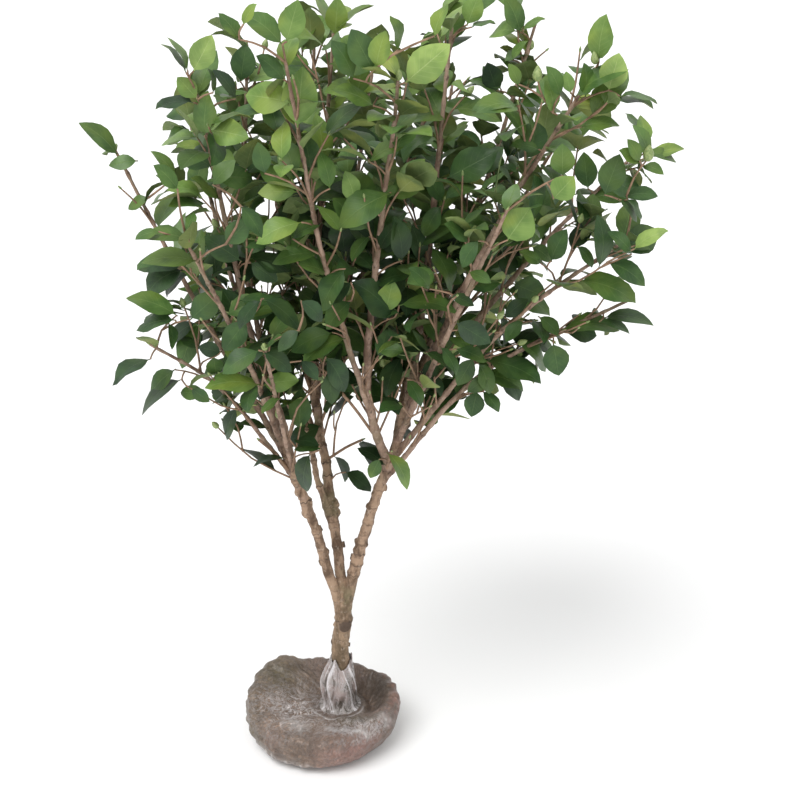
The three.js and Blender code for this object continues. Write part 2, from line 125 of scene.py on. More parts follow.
# Side twigs.
TWIG_SPACING = 0.050
TWIG_FIRST, TWIG_LAST = -0.22, 0.92
TWIG_LENGTH = 0.125
TWIG_SHORTEST = 0.5
TWIG_ANGLE, TWIG_ANGLE_SPREAD = 36, 10
TWIG_RISE = 0.3
TWIG_RADIUS, TWIG_TIP_RADIUS = 0.0018, 0.0011

# Leaves.
LEAF_LENGTH = 0.063
LEAF_LENGTHS = (0.78, 1.22)
LEAF_WIDTHS = (0.5, 0.66)  # of the length
LEAF_SPACING = 0.029
LEAF_APART = 0.0065  # between the outer parts of two leaves
LEAF_CLEAR = 0.003  # from a limb's bark
LEAF_ROWS = np.array([0.0, 0.09, 0.17, 0.3, 0.46, 0.62, 0.77, 0.9, 1.0])
LEAF_COLUMNS = np.array([-1.0, -0.5, 0.0, 0.5, 1.0])
PETIOLE = 0.09  # share of the leaf's length
# Tints from darkest to palest: lit and shaded copies of one leaf, with painted shade inside and low in the
# crown and painted light on its top, where young leaves are also paler.
TINTS = ("deep", "dark", "mid", "bright", "young_and_lit")
# Turns round the shoot, and shares of its length, that a leaf tries until it fits.
LEAF_TRIES = (
    (0, 1), (math.pi, 1), (math.pi / 2, 1), (-math.pi / 2, 1), (0, 0.75), (math.pi, 0.75),
)

# The eye that looks at the shrub from the front, and its view: 800 pixels wide and high, with the origin
# at the top left. Spots of the view are given. on_plane finds where they lie.
EYE = np.array([0.130, -2.0, 1.4])
VIEW_PITCH = math.radians(21.9)
VIEW_FOCAL, VIEW_MIDDLE = 1430, 400
# The crown's edge in that view, from the top down: the tips and corners where it turns. The first spot of
# each lies above the view and is a guess.
EDGE_LEFT = [
    (212, -40), (218, 12), (160, 44), (174, 84), (155, 110), (78, 124), (109, 166), (129, 209), (125, 297),
    (137, 332), (112, 385), (141, 416), (223, 428), (224, 441), (252, 465), (292, 492), (298, 502),
]
EDGE_RIGHT = [
    (606, -40), (608, 15), (627, 66), (659, 106), (651, 132), (686, 150), (661, 181), (643, 208),
    (670, 230), (645, 272), (654, 326), (622, 336), (574, 355), (544, 385), (503, 412), (432, 430),
    (402, 452), (408, 488), (404, 502),
]
# Stretches of limbs that show between the leaves from there.
SHOWN = {
    "stem_left": (0, 0.45), "stem_mid": (0, 0.42), "stem_right": (0, 0.5),
    "bough_centre_right": (0, 0.5), "bough_front_long": (0, 0.8), "bough_low_right": (0, 0.7),
    "bough_right_upper": (0.3, 0.6), "bough_right_side": (0.3, 0.75),
    "bough_low_left": (0, 0.3), "bough_far_left": (0.5, 0.8), "bough_right_outer": (0.3, 0.7),
}
# Openings that the sky shows through: middle and radius in that view. A pixel there is about 1.4 mm on
# the plane, and the rest keeps leaves from touching the opening.
WINDOW_SCALE = 1.6 * MM
WINDOWS = [
    (352, 425, 19), (380, 431, 10), (231, 206, 9), (267, 209, 6), (413, 404, 6), (270, 283, 6),
    (414, 213, 8), (429, 249, 6), (328, 446, 16), (262, 38, 14), (308, 52, 9), (425, 15, 14), (555, 40, 24),
    (578, 16, 24), (545, 15, 12), (466, 70, 9), (215, 212, 14), (232, 280, 10), (258, 283, 6),
    (302, 290, 6), (255, 330, 6), (217, 345, 7), (195, 366, 10), (200, 418, 16), (176, 402, 8),
    (255, 440, 9), (355, 362, 6), (575, 260, 9), (612, 269, 7), (578, 303, 10), (475, 290, 8),
    (470, 305, 7), (130, 128, 13),
]
# Leaves that stand out at the front: foot x, y and tip x, y in that view, how wide they look for their
# length, and their tint, which is painted light or shade as well as their own tone.
PLACED = [
    (118, 156, 78, 123, 0.42, "mid"), (138, 161, 109, 166, 0.55, "mid"), (150, 198, 128, 209, 0.5, "mid"),
    (186, 74, 160, 44, 0.2, "mid"), (188, 72, 167, 37, 0.2, "bright"), (193, 73, 212, 35, 0.66, "young_and_lit"),
    (198, 99, 177, 77, 0.7, "bright"), (205, 137, 208, 90, 0.56, "mid"), (213, 94, 207, 68, 0.3, "mid"),
    (195, 103, 155, 110, 0.3, "deep"), (176, 177, 150, 151, 0.4, "bright"),
    (178, 190, 153, 165, 0.5, "mid"), (240, 41, 218, 13, 0.5, "mid"), (243, 26, 257, 4, 0.4, "bright"),
    (283, 46, 242, 14, 0.42, "mid"), (286, 43, 298, -1, 0.62, "bright"), (240, 83, 246, 44, 0.7, "dark"),
    (284, 81, 256, 56, 0.5, "dark"), (236, 100, 212, 70, 0.35, "deep"), (297, 130, 303, 66, 0.62, "bright"),
    (335, 36, 338, -4, 0.6, "bright"), (354, 80, 331, 40, 0.5, "dark"), (374, 72, 351, 29, 0.66, "dark"),
    (377, 69, 386, 30, 0.55, "bright"), (398, 51, 390, 15, 0.3, "mid"), (404, 84, 450, 44, 0.6, "young_and_lit"),
    (434, 38, 448, 3, 0.45, "bright"), (467, 26, 479, -6, 0.7, "bright"), (470, 28, 496, 24, 0.25, "mid"),
    (520, 33, 504, -4, 0.5, "mid"), (523, 31, 546, 19, 0.35, "bright"), (512, 61, 528, 41, 0.4, "bright"),
    (599, 62, 607, 14, 0.52, "bright"), (608, 92, 619, 53, 0.75, "young_and_lit"), (574, 98, 629, 70, 0.35, "mid"),
    (618, 97, 658, 105, 0.2, "mid"), (580, 128, 620, 126, 0.4, "mid"), (553, 114, 545, 79, 0.45, "bright"),
    (649, 158, 685, 149, 0.4, "bright"), (648, 161, 632, 125, 0.35, "mid"),
    (625, 196, 658, 196, 0.45, "dark"), (618, 199, 637, 222, 0.32, "dark"),
    (563, 177, 562, 143, 0.72, "mid"), (553, 200, 574, 176, 0.85, "bright"),
    (604, 196, 620, 154, 0.66, "dark"), (368, 163, 406, 145, 0.3, "bright"),
    (374, 107, 332, 90, 0.38, "mid"), (355, 204, 345, 171, 0.56, "bright"),
    (392, 192, 338, 228, 0.5, "mid"), (445, 179, 498, 150, 0.6, "dark"),
    (303, 222, 256, 244, 0.42, "bright"), (320, 254, 272, 264, 0.4, "mid"),
    (507, 241, 530, 207, 0.9, "bright"), (198, 262, 141, 263, 0.42, "mid"),
    (178, 316, 126, 298, 0.42, "mid"), (190, 320, 222, 291, 0.6, "dark"), (176, 320, 136, 331, 0.4, "dark"),
    (247, 318, 224, 351, 0.6, "dark"), (152, 359, 112, 386, 0.34, "deep"),
    (176, 369, 150, 394, 0.5, "dark"), (183, 379, 142, 416, 0.28, "deep"),
    (191, 388, 210, 402, 0.6, "dark"), (262, 386, 204, 388, 0.36, "bright"),
    (262, 386, 299, 380, 0.55, "bright"), (395, 318, 352, 282, 0.5, "deep"),
    (386, 312, 393, 280, 0.7, "bright"), (398, 306, 460, 314, 0.34, "mid"),
    (504, 288, 550, 316, 0.45, "mid"), (577, 281, 636, 303, 0.4, "mid"), (606, 262, 645, 286, 0.42, "dark"),
    (634, 250, 669, 231, 0.42, "young_and_lit"), (632, 255, 607, 232, 0.4, "dark"),
    (598, 269, 597, 214, 0.33, "dark"), (560, 331, 620, 331, 0.3, "mid"), (602, 318, 654, 326, 0.3, "dark"),
    (553, 342, 559, 376, 0.8, "dark"), (484, 361, 541, 384, 0.4, "dark"), (477, 390, 471, 417, 0.8, "dark"),
    (482, 391, 499, 412, 0.5, "dark"), (402, 356, 386, 397, 0.5, "deep"),
    (425, 352, 452, 373, 0.35, "dark"), (406, 379, 421, 407, 0.5, "dark"),
    (322, 425, 289, 446, 0.5, "deep"), (311, 452, 307, 492, 0.36, "deep"),
    (285, 458, 253, 467, 0.25, "deep"), (345, 472, 371, 492, 0.5, "deep"), (380, 458, 370, 478, 0.6, "mid"),
    (386, 452, 407, 490, 0.3, "bright"), (238, 407, 227, 440, 0.4, "deep"),
    (346, 268, 322, 312, 0.45, "dark"), (370, 236, 352, 262, 0.4, "mid"), (442, 205, 425, 237, 0.5, "dark"),
    (480, 240, 462, 268, 0.5, "dark"), (300, 330, 278, 352, 0.5, "deep"), (325, 356, 345, 392, 0.5, "deep"),
    (262, 300, 240, 330, 0.4, "deep"), (430, 245, 452, 292, 0.4, "mid"), (456, 330, 480, 345, 0.5, "dark"),
    (225, 245, 250, 218, 0.6, "dark"), (160, 232, 135, 240, 0.4, "mid"), (330, 190, 318, 150, 0.5, "mid"),
    (345, 140, 322, 132, 0.3, "mid"), (265, 175, 258, 142, 0.6, "dark"), (540, 150, 510, 146, 0.4, "dark"),
    (530, 245, 552, 262, 0.5, "mid"), (190, 240, 141, 238, 0.36, "mid"), (242, 262, 204, 236, 0.6, "dark"),
    (262, 298, 300, 331, 0.4, "deep"), (334, 332, 291, 352, 0.5, "dark"), (201, 322, 182, 369, 0.5, "mid"),
    (168, 322, 172, 350, 0.4, "dark"), (213, 356, 216, 375, 0.85, "mid"), (260, 350, 222, 374, 0.5, "dark"),
    (262, 352, 292, 372, 0.5, "deep"), (330, 370, 332, 404, 0.6, "deep"), (352, 300, 326, 330, 0.5, "dark"),
    (352, 282, 332, 304, 0.5, "deep"), (455, 322, 491, 343, 0.6, "deep"), (440, 346, 456, 376, 0.4, "dark"),
    (474, 357, 457, 386, 0.6, "dark"), (478, 362, 490, 394, 0.5, "dark"), (538, 316, 560, 336, 0.5, "dark"),
    (420, 318, 447, 347, 0.5, "mid"), (402, 262, 394, 216, 0.5, "deep"), (420, 262, 412, 226, 0.5, "deep"),
    (380, 250, 398, 222, 0.5, "deep"), (292, 240, 320, 226, 0.4, "dark"), (240, 205, 262, 238, 0.5, "dark"),
    (212, 186, 236, 160, 0.5, "dark"), (300, 300, 322, 322, 0.5, "deep"), (250, 262, 278, 282, 0.6, "dark"),
    (430, 290, 408, 268, 0.4, "dark"), (282, 398, 262, 414, 0.3, "mid"), (236, 396, 212, 404, 0.3, "dark"),
    (300, 360, 318, 380, 0.5, "deep"), (450, 296, 474, 306, 0.5, "deep"), (380, 200, 398, 186, 0.5, "dark"),
    (524, 320, 506, 342, 0.5, "dark"), (496, 332, 478, 350, 0.5, "deep"), (537, 81, 538, 64, 0.8, "bud"),
    (648, 160, 650, 143, 0.8, "bud"), (595, 63, 594, 50, 0.8, "bud"), (497, 92, 487, 62, 0.7, "deep"),
    (585, 98, 584, 62, 0.5, "mid"), (588, 190, 584, 152, 0.62, "dark"), (641, 163, 619, 150, 0.5, "mid"),
    (512, 283, 546, 297, 0.75, "dark"), (541, 264, 519, 252, 0.5, "mid"), (598, 322, 630, 334, 0.3, "dark"),
    (455, 349, 487, 362, 0.5, "dark"), (321, 446, 294, 441, 0.4, "deep"), (468, 272, 491, 283, 0.5, "mid"),
    (502, 90, 483, 66, 0.6, "dark"), (519, 86, 508, 64, 0.5, "mid"), (560, 97, 546, 66, 0.45, "mid"),
    (571, 94, 566, 71, 0.6, "bright"), (551, 262, 567, 229, 0.55, "dark"),
    (576, 246, 592, 268, 0.35, "dark"), (640, 162, 627, 139, 0.5, "mid"), (626, 199, 641, 220, 0.3, "dark"),
    (222, 352, 198, 347, 0.7, "deep"), (197, 322, 170, 346, 0.35, "deep"),
    (504, 319, 528, 299, 0.55, "deep"), (489, 377, 467, 392, 0.6, "dark"),
    (268, 429, 238, 424, 0.35, "dark"), (322, 449, 294, 450, 0.4, "dark"),
]
# Limbs with fewer twigs and leaves than the rule's, and their share of them.
SPARSE = {"bough_low_left": 0.3, "bough_far_left": 0.35, "bough_low_right": 0.6, "bough_front_low": 0.6,
          "bough_right_outer": 0.7, "spur_left": 0.6, "spur_mid": 0.7, "spur_right": 0.5}


# ---------------------------------------------------------------- small helpers

def lerp(low, high, share):
    return low + (high - low) * share


def smoothstep(value, low, high):
    share = np.clip((value - low) / (high - low), 0, 1)
    return share * share * (3 - 2 * share)


def unit(vector):
    return vector / np.linalg.norm(vector)


def across_of(heading):
    """Two directions at right angles to a third."""
    side = np.array([heading[2], 0.0, -heading[0]])
    if np.linalg.norm(side) < 1e-3:
        side = np.array([1.0, 0.0, 0.0])
    side = unit(side)
    return side, unit(np.cross(heading, side))


def leaning(heading, turn, lean):
    side, other = across_of(heading)
    outward = side * math.cos(turn) + other * math.sin(turn)
    return outward * math.sin(lean) + heading * math.cos(lean)


def turned(vector, axis, angle):
    """A vector turned about an axis at right angles to it or not."""
    c, s = math.cos(angle), math.sin(angle)
    return vector * c + np.cross(axis, vector) * s + axis * np.dot(axis, vector) * (1 - c)


class Path:
    """A smooth curve through points, read by the share of its length."""

    def __init__(self, points, steps=48):
        p = [np.array(point, float) for point in points]
        p = [2 * p[0] - p[1], *p, 2 * p[-1] - p[-2]]
        places = [p[1]]
        for a, b, c, d in zip(p, p[1:], p[2:], p[3:]):
            before, here, after = (math.sqrt(np.linalg.norm(y - x)) for x, y in ((a, b), (b, c), (c, d)))
            start = ((b - a) / before - (c - a) / (before + here) + (c - b) / here) * here
            end = ((c - b) / here - (d - b) / (here + after) + (d - c) / after) * here
            for t in np.linspace(0, 1, steps + 1)[1:]:
                places.append(
                    b + start * t + (3 * (c - b) - 2 * start - end) * t**2
                    + (2 * (b - c) + start + end) * t**3
                )
        self.places = np.array(places)
        steps = np.linalg.norm(np.diff(self.places, axis=0), axis=1)
        self.lengths = np.concatenate([[0], np.cumsum(steps)])
        self.length = self.lengths[-1]

    def at(self, share):
        wanted = np.clip(share, 0, 1) * self.length
        return np.array([np.interp(wanted, self.lengths, self.places[:, i]) for i in range(3)])

    def at_all(self, shares):
        wanted = np.clip(shares, 0, 1) * self.length
        return np.stack([np.interp(wanted, self.lengths, self.places[:, i]) for i in range(3)], axis=1)

    def heading(self, share):
        return unit(self.at(min(share + 0.01, 1)) - self.at(max(share - 0.01, 0)))


class Limb:
    """A branch: its path, its thickness and the share of it that is bare."""

    def __init__(self, name, path, radius_at, bare):
        self.name, self.path, self.radius_at, self.bare = name, path, radius_at, bare

    def leader_at(self, share):
        return self.path.at(max(lerp(self.bare, 1, share), 0.1))

    def leader_heading(self, share):
        return self.path.heading(max(lerp(self.bare, 1, share), 0.1))

    @property
    def leader_length(self):
        return self.path.length * (1 - self.bare)


def scaled(points):
    return [np.array(point) * MM for point in points]


def trunk_radius(share):
    return lerp(*TRUNK_RADII, share) * (1 + TRUNK_FLARE * (1 - share) ** 6) * MM


def limb_radius(radius, forked):
    """A limb's taper. A stem is slimmer above the place where its boughs part from it."""
    def at(share):
        kept = 1 - 0.3 * float(smoothstep(share, 0.29, 0.46)) * (1 - share) if forked else 1
        return lerp(radius, LIMB_TIP_RADIUS, share**LIMB_TAPER) * MM * kept
    return at


limbs = {"trunk": Limb("trunk", Path(scaled(TRUNK_POINTS)), trunk_radius, 1)}
for name, parent, at, through, bare, radius in LIMBS:
    start = limbs[parent].path.at(at)
    thickness = limb_radius(radius, name.startswith("stem"))
    limbs[name] = Limb(name, Path([start, *scaled(through)]), thickness, bare)
for name, parent, at, tip in SPURS:
    stem = limbs[parent]
    foot, end = stem.path.at(at), np.array(tip) * MM
    heading = unit(end - foot)
    start = foot + heading * stem.radius_at(at) * 0.5
    middle = (start + end) / 2 + across_of(heading)[1] * np.linalg.norm(end - start) * 0.08
    limbs[name] = Limb(
        name, Path([start, middle, end]), lambda share: lerp(SPUR_RADIUS, LIMB_TIP_RADIUS, share) * MM, 0
    )
leafy = [limb for limb in limbs.values() if limb.name != "trunk"]
fork_ends = limbs["stem_mid"].path.at(0.11), limbs["bough_low_back_left"].path.at(0.22)
fork = Limb(
    "fork", Path([fork_ends[0], *scaled(FORK_POINTS), fork_ends[1]]),
    lambda share: lerp(*FORK_RADII, share) * MM, 1
)


# ---------------------------------------------------------------- materials

class Signal:
    """A socket's value, so that maths on it is written as an expression."""

    def __init__(self, paint, socket):
        self.paint, self.socket = paint, socket

    def _maths(self, operation, *values):
        return self.paint.node("ShaderNodeMath", {"operation": operation}, dict(enumerate(values)))

    def __add__(self, other):
        return self._maths("ADD", self, other)

    def __sub__(self, other):
        return self._maths("SUBTRACT", self, other)

    def __mul__(self, other):
        return self._maths("MULTIPLY", self, other)

    def __truediv__(self, other):
        return self._maths("DIVIDE", self, other)

    def __pow__(self, other):
        return self._maths("POWER", self, other)

    def __rsub__(self, other):
        return self._maths("SUBTRACT", other, self)

    __radd__, __rmul__ = __add__, __mul__

    def size(self):
        return self._maths("ABSOLUTE", self)

    def sine(self):
        return self._maths("SINE", self)

    def step(self, low, high):
        """0 below low, 1 above high and smooth between."""
        return self.paint.node(
            "ShaderNodeMapRange", {"interpolation_type": "SMOOTHSTEP"}, {0: self, 1: low, 2: high}
        )


class Paint:
    """A material's nodes."""

    def __init__(self, name):
        self.material = bpy.data.materials.new(name)
        self.material.use_nodes = True
        self.tree = self.material.node_tree
        self.shader = self.tree.nodes["Principled BSDF"]
        self.places = self.node("ShaderNodeTexCoord", output="Object")

    def connect(self, socket, value):
        if isinstance(value, Signal):
            self.tree.links.new(value.socket, socket)
        elif isinstance(value, tuple) and len(value) == 3 and socket.type == "RGBA":
            socket.default_value = (*value, 1)
        else:
            socket.default_value = value

    def node(self, kind, settings={}, inputs={}, output=0):
        made = self.tree.nodes.new(kind)
        for key, value in settings.items():
            setattr(made, key, value)
        for key, value in inputs.items():
            self.connect(made.inputs[key], value)
        return Signal(self, made.outputs[output])

    def noise(self, scale, detail=3, roughness=0.55, places=None, distortion=0.0):
        return self.node(
            "ShaderNodeTexNoise",
            {},
            {
                "Vector": places or self.places,
                "Scale": scale,
                "Detail": detail,
                "Roughness": roughness,
                "Distortion": distortion,
            },
        )

    def stretched(self, scale, places=None):
        """The places with each axis scaled by its own number."""
        return self.node("ShaderNodeMapping", {}, {"Vector": places or self.places, "Scale": scale})

    def mix(self, share, low, high):
        """A colour between two."""
        return self.node("ShaderNodeMix", {"data_type": "RGBA"}, {0: share, 6: low, 7: high}, output=2)

    def split(self, vector):
        parts = self.node("ShaderNodeSeparateXYZ", {}, {0: vector})
        outputs = parts.socket.node.outputs
        return [Signal(self, outputs[i]) for i in range(3)]

    def bump(self, height, distance, strength=1.0):
        return self.node(
            "ShaderNodeBump", {}, {"Height": height, "Distance": distance, "Strength": strength}
        )

    def finish(self, **sockets):
        for name, value in sockets.items():
            self.connect(self.shader.inputs[name.replace("_", " ")], value)
        return self.material


def srgb(red, green, blue):
    """A colour given in the 0 to 255 steps of a screen, as the shader's linear numbers."""
    return tuple(
        (c / 255 / 12.92 if c / 255 <= 0.04045 else ((c / 255 + 0.055) / 1.055) ** 2.4)
        for c in (red, green, blue)
    )


# What the root ball's and the collar's meshes carry for their paints.
BALL_MARKS = ("pale", "hollow_shade", "red", "olive", "web")


def bark_paint(name, light, dark, moss):
    """Smooth bark in patches, dark in its scars, which the mesh carries as an attribute."""
    p = Paint(name)
    scar = p.node("ShaderNodeAttribute", {"attribute_name": "scar"}, output=2)
    along = p.stretched((1.0, 1.0, 0.4))
    patches = p.noise(52, 5, 0.68, along)
    bands = p.noise(90, 3, 0.6, p.stretched((0.35, 0.35, 1.6)))
    fine = p.noise(380, 3, 0.6)
    height = p.split(p.places)[2]
    green = p.noise(21, 3, 0.5).step(0.52, 0.66) * 0.55 + (1 - height.step(0.16, 0.34)) * 0.22
    colour = p.mix(patches.step(0.38, 0.6), dark, light)
    colour = p.mix(bands.step(0.54, 0.7) * 0.55, colour, dark)
    colour = p.mix(green, colour, moss)
    colour = p.mix(p.noise(130, 4, 0.7).step(0.56, 0.66) * 0.3, colour, srgb(196, 180, 164))
    cracks = p.noise(140, 3, 0.6, p.stretched((1.0, 1.0, 0.3))).step(0.62, 0.7)
    colour = p.mix((cracks * 0.6 + scar * 1.6).step(0.0, 1.0) * 0.85, colour, srgb(58, 44, 36))
    relief = fine * 0.5 + patches * 0.7 + bands * 0.6 - scar * 0.8
    return p.finish(Base_Color=colour, Roughness=0.7 + fine * 0.2, Normal=p.bump(relief, 0.0012, 0.8))


def leaf_paint(name, light, dark, rib, roughness, vein_share):
    """A leaf's face: its midrib and side veins follow its own map."""
    p = Paint(name)
    u, v, _ = p.split(p.node("ShaderNodeTexCoord", output="UV"))
    out = (u * 2 - 1).size()
    midrib = 1 - (out + v * 0.015).step(0.01, 0.06)
    veins = 1 - ((v * 8.5 - out * 2.1) * math.pi).sine().size().step(0.02, 0.3)
    veins = veins * (1 - out.step(0.55, 0.95))
    blotches = p.noise(42, 2)
    warm = (light[0] * 1.3, light[1] * 1.06, light[2] * 0.72, 1)
    deep = (dark[0] * 0.62, dark[1] * 0.68, dark[2] * 0.72, 1)
    colour = p.mix(blotches.step(0.32, 0.68), dark, light)
    colour = p.mix(p.noise(15, 2).step(0.46, 0.62) * 0.6, colour, warm)
    colour = p.mix(p.noise(19, 2).step(0.5, 0.62) * 0.55, colour, deep)
    # Painted shade: each leaf darkens towards its foot.
    colour = p.mix((1 - v.step(0.05, 0.45)) * 0.3, colour, deep)
    colour = p.mix(veins * vein_share * 0.4 + midrib * vein_share, colour, rib)
    height = 0 - midrib * 0.8 - veins * 0.3
    return p.finish(
        Base_Color=colour,
        Roughness=roughness + blotches * 0.14,
        Normal=p.bump(height, 0.0005, 0.5),
        Specular_IOR_Level=0.32,
    )


def film_soil_paint():
    """Damp soil under clear film. The mesh says where the film is pale with creases and painted highlights,
    where painted shade darkens the hollow, where it is reddish or olive, and where its painted sheen shows.
    """
    p = Paint("film_over_soil")
    pale, hollow_shade, red, olive, web = (
        p.node("ShaderNodeAttribute", {"attribute_name": name}, output=2) for name in BALL_MARKS
    )
    x, y, z = p.split(p.places)
    east, north = x - TRUNK_X, y
    turn = p.node("ShaderNodeMath", {"operation": "ARCTAN2"}, {0: north, 1: east})
    reach = (east * east + north * north) ** 0.5
    fan = p.node("ShaderNodeCombineXYZ", {}, {0: turn * 6, 1: reach * 26, 2: z * 30})
    strands = p.noise(3.6, 5, 0.75, fan, 1.1)
    sheen_threads = 1 - (strands - 0.52).size().step(0.0, 0.045)
    fibres = p.noise(3.2, 5, 0.7, fan, 1.6)
    clods = p.noise(24, 5, 0.6)
    grains = p.noise(150, 3, 0.6)
    tufts = p.noise(26, 4, 0.72, None, 2.4)
    sheen_hairs = 1 - (tufts - 0.5).size().step(0.0, 0.05)
    glint_lines = p.noise(48, 3, 0.6, None, 1.6)
    glints = (1 - (glint_lines - 0.5).size().step(0.0, 0.02)) * p.noise(13, 2).step(0.5, 0.6)
    colour = p.mix(clods.step(0.34, 0.66), srgb(108, 90, 76), srgb(148, 126, 110))
    colour = p.mix(p.noise(9, 2).step(0.45, 0.6) * 0.5, colour, srgb(126, 104, 94))
    colour = p.mix(olive * 0.8, colour, srgb(98, 90, 66))
    colour = p.mix(red * 0.6, colour, srgb(166, 124, 114))
    colour = p.mix(fibres.step(0.52, 0.64) * 0.5, colour, srgb(64, 52, 40))
    # Pale fibres, brightened further where the painted sheen shows.
    colour = p.mix((1 - fibres.step(0.34, 0.44)) * (0.15 + web * 0.4), colour, srgb(166, 152, 146))
    colour = p.mix(grains.step(0.5, 0.74) * 0.35, colour, srgb(66, 52, 42))
    # Painted shade darkens the hollow at the right-hand back.
    colour = p.mix(hollow_shade * 0.6, colour, srgb(66, 56, 40))
    # Painted sheen: white hair-like lines on the film's fine wrinkles, and painted glints.
    colour = p.mix((sheen_hairs * 0.9 + sheen_threads * 0.8) * (0.12 + web * 1.2), colour, srgb(214, 205, 203))
    colour = p.mix(glints * (0.25 + web * 0.6), colour, srgb(220, 218, 222))
    # Pale creases of the film, and painted highlights.
    colour = p.mix(pale, colour, srgb(222, 217, 215))
    height = clods * 0.4 + sheen_threads * 0.35 + sheen_hairs * 0.25 + glints * 0.3 + grains * 0.12 + fibres * 0.4
    return p.finish(
        Base_Color=colour,
        Roughness=0.34 + grains * 0.25,
        Normal=p.bump(height, 0.003, 0.9),
        Coat_Weight=0.25,
        Coat_Roughness=0.14,
        Specular_IOR_Level=0.35,
    )


def film_paint():
    """Clear film in gathered layers: pale streaks down the pleats, darker streaks of painted shade for the
    gaps between the layers, and painted highlights on the pleats' crests and threads.
    """
    p = Paint("gathered_film")
    crest = p.node("ShaderNodeAttribute", {"attribute_name": "pale"}, output=2)
    streaks = p.noise(95, 5, 0.75, p.stretched((1.0, 1.0, 0.2)), 0.8)
    crinkles = p.noise(210, 2, 0.5, p.stretched((1.0, 1.0, 0.5)))
    sheen_threads = 1 - (streaks - 0.5).size().step(0.0, 0.03)
    # The dark end of the streaks is painted shade, standing for the gaps between the layers.
    colour = p.mix(streaks.step(0.32, 0.62), srgb(84, 76, 66), srgb(160, 152, 148))
    colour = p.mix(p.noise(26, 2).step(0.45, 0.6) * 0.5, colour, srgb(178, 156, 152))
    # The white on the pleats' crests and on thin threads is painted highlight, and partly the pale of
    # folded film.
    colour = p.mix((crest * 0.65 + sheen_threads * 0.5).step(0.0, 1.0), colour, srgb(228, 224, 226))
    return p.finish(
        Base_Color=colour,
        Roughness=0.18 + crinkles * 0.22,
        Alpha=0.7 + streaks.step(0.35, 0.7) * 0.3,
        Normal=p.bump(streaks + crinkles * 0.4, 0.003, 0.9),
        Coat_Weight=0.4,
    )


def plain_paint(name, light, dark, roughness, scale):
    p = Paint(name)
    patches = p.noise(scale, 3)
    return p.finish(
        Base_Color=p.mix(patches.step(0.35, 0.65), dark, light),
        Roughness=roughness + patches * 0.1,
        Normal=p.bump(patches, 0.0004, 0.5),
    )


BARK = bark_paint("bark", srgb(162, 135, 112), srgb(92, 71, 54), srgb(108, 102, 74))
BOUGH_BARK = bark_paint("bough_bark", srgb(164, 138, 120), srgb(112, 88, 72), srgb(126, 112, 88))
TWIG_BARK = plain_paint("twig_bark", srgb(150, 120, 96), srgb(116, 92, 70), 0.6, 90)
BUD_GREEN = plain_paint("bud_green", srgb(150, 164, 106), srgb(116, 136, 80), 0.45, 300)
UNDERSIDE = leaf_paint(
    "leaf_underside", srgb(122, 140, 84), srgb(102, 120, 70), srgb(150, 162, 110), 0.55, 0.4
)
# One face for each tint: the darker ones carry painted shade, the paler ones painted light.
LEAF_FACES = {
    "deep": leaf_paint("leaf_deep", srgb(50, 76, 44), srgb(36, 58, 34), srgb(84, 108, 66), 0.36, 0.3),
    "dark": leaf_paint("leaf_dark", srgb(66, 96, 48), srgb(50, 78, 40), srgb(102, 128, 74), 0.34, 0.32),
    "mid": leaf_paint("leaf_mid", srgb(86, 116, 58), srgb(68, 98, 46), srgb(124, 146, 84), 0.3, 0.34),
    "bright": leaf_paint(
        "leaf_bright", srgb(116, 144, 72), srgb(94, 124, 58), srgb(152, 172, 106), 0.33, 0.38
    ),
    "young_and_lit": leaf_paint(
        "leaf_young_and_lit", srgb(150, 174, 96), srgb(124, 150, 78), srgb(178, 194, 130), 0.36, 0.4
    ),
}
FILM_OVER_SOIL = film_soil_paint()
GATHERED_FILM = film_paint()


# ---------------------------------------------------------------- modelling helpers

def deselect():
    bpy.ops.object.select_all(action="DESELECT")


def make_active(piece):
    deselect()
    piece.select_set(True)
    bpy.context.view_layer.objects.active = piece


def apply_modifiers(piece):
    make_active(piece)
    for modifier in list(piece.modifiers):
        bpy.ops.object.modifier_apply(modifier=modifier.name)


def claim(piece, nodes):
    """Hangs a finished piece from the root body and hides the nodes that it stands for."""
    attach(piece, "root")
    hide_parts(*nodes)


def mesh_piece(name, corners, faces, materials, material_of=None, uvs=None):
    """A joined piece from arrays. A face is padded with -1 where it has three corners."""
    mesh = bpy.data.meshes.new(name)
    sizes = (faces >= 0).sum(axis=1)
    mesh.vertices.add(len(corners))
    mesh.vertices.foreach_set("co", corners.astype(np.float32).ravel())
    mesh.loops.add(int(sizes.sum()))
    mesh.loops.foreach_set("vertex_index", faces[faces >= 0].astype(np.int32))
    mesh.polygons.add(len(faces))
    mesh.polygons.foreach_set("loop_start", np.concatenate([[0], np.cumsum(sizes)[:-1]]).astype(np.int32))
    mesh.update(calc_edges=True)
    for material in materials:
        mesh.materials.append(material)
    if material_of is not None:
        mesh.polygons.foreach_set("material_index", material_of.astype(np.int32))
    if uvs is not None:
        layer = mesh.uv_layers.new(name="UVMap")
        layer.data.foreach_set("uv", uvs[faces[faces >= 0]].astype(np.float32).ravel())
    mesh.validate()
    piece = bpy.data.objects.new(name, mesh)
    bpy.context.collection.objects.link(piece)
    make_active(piece)
    bpy.ops.object.shade_smooth_by_angle(angle=math.radians(62))
    return piece


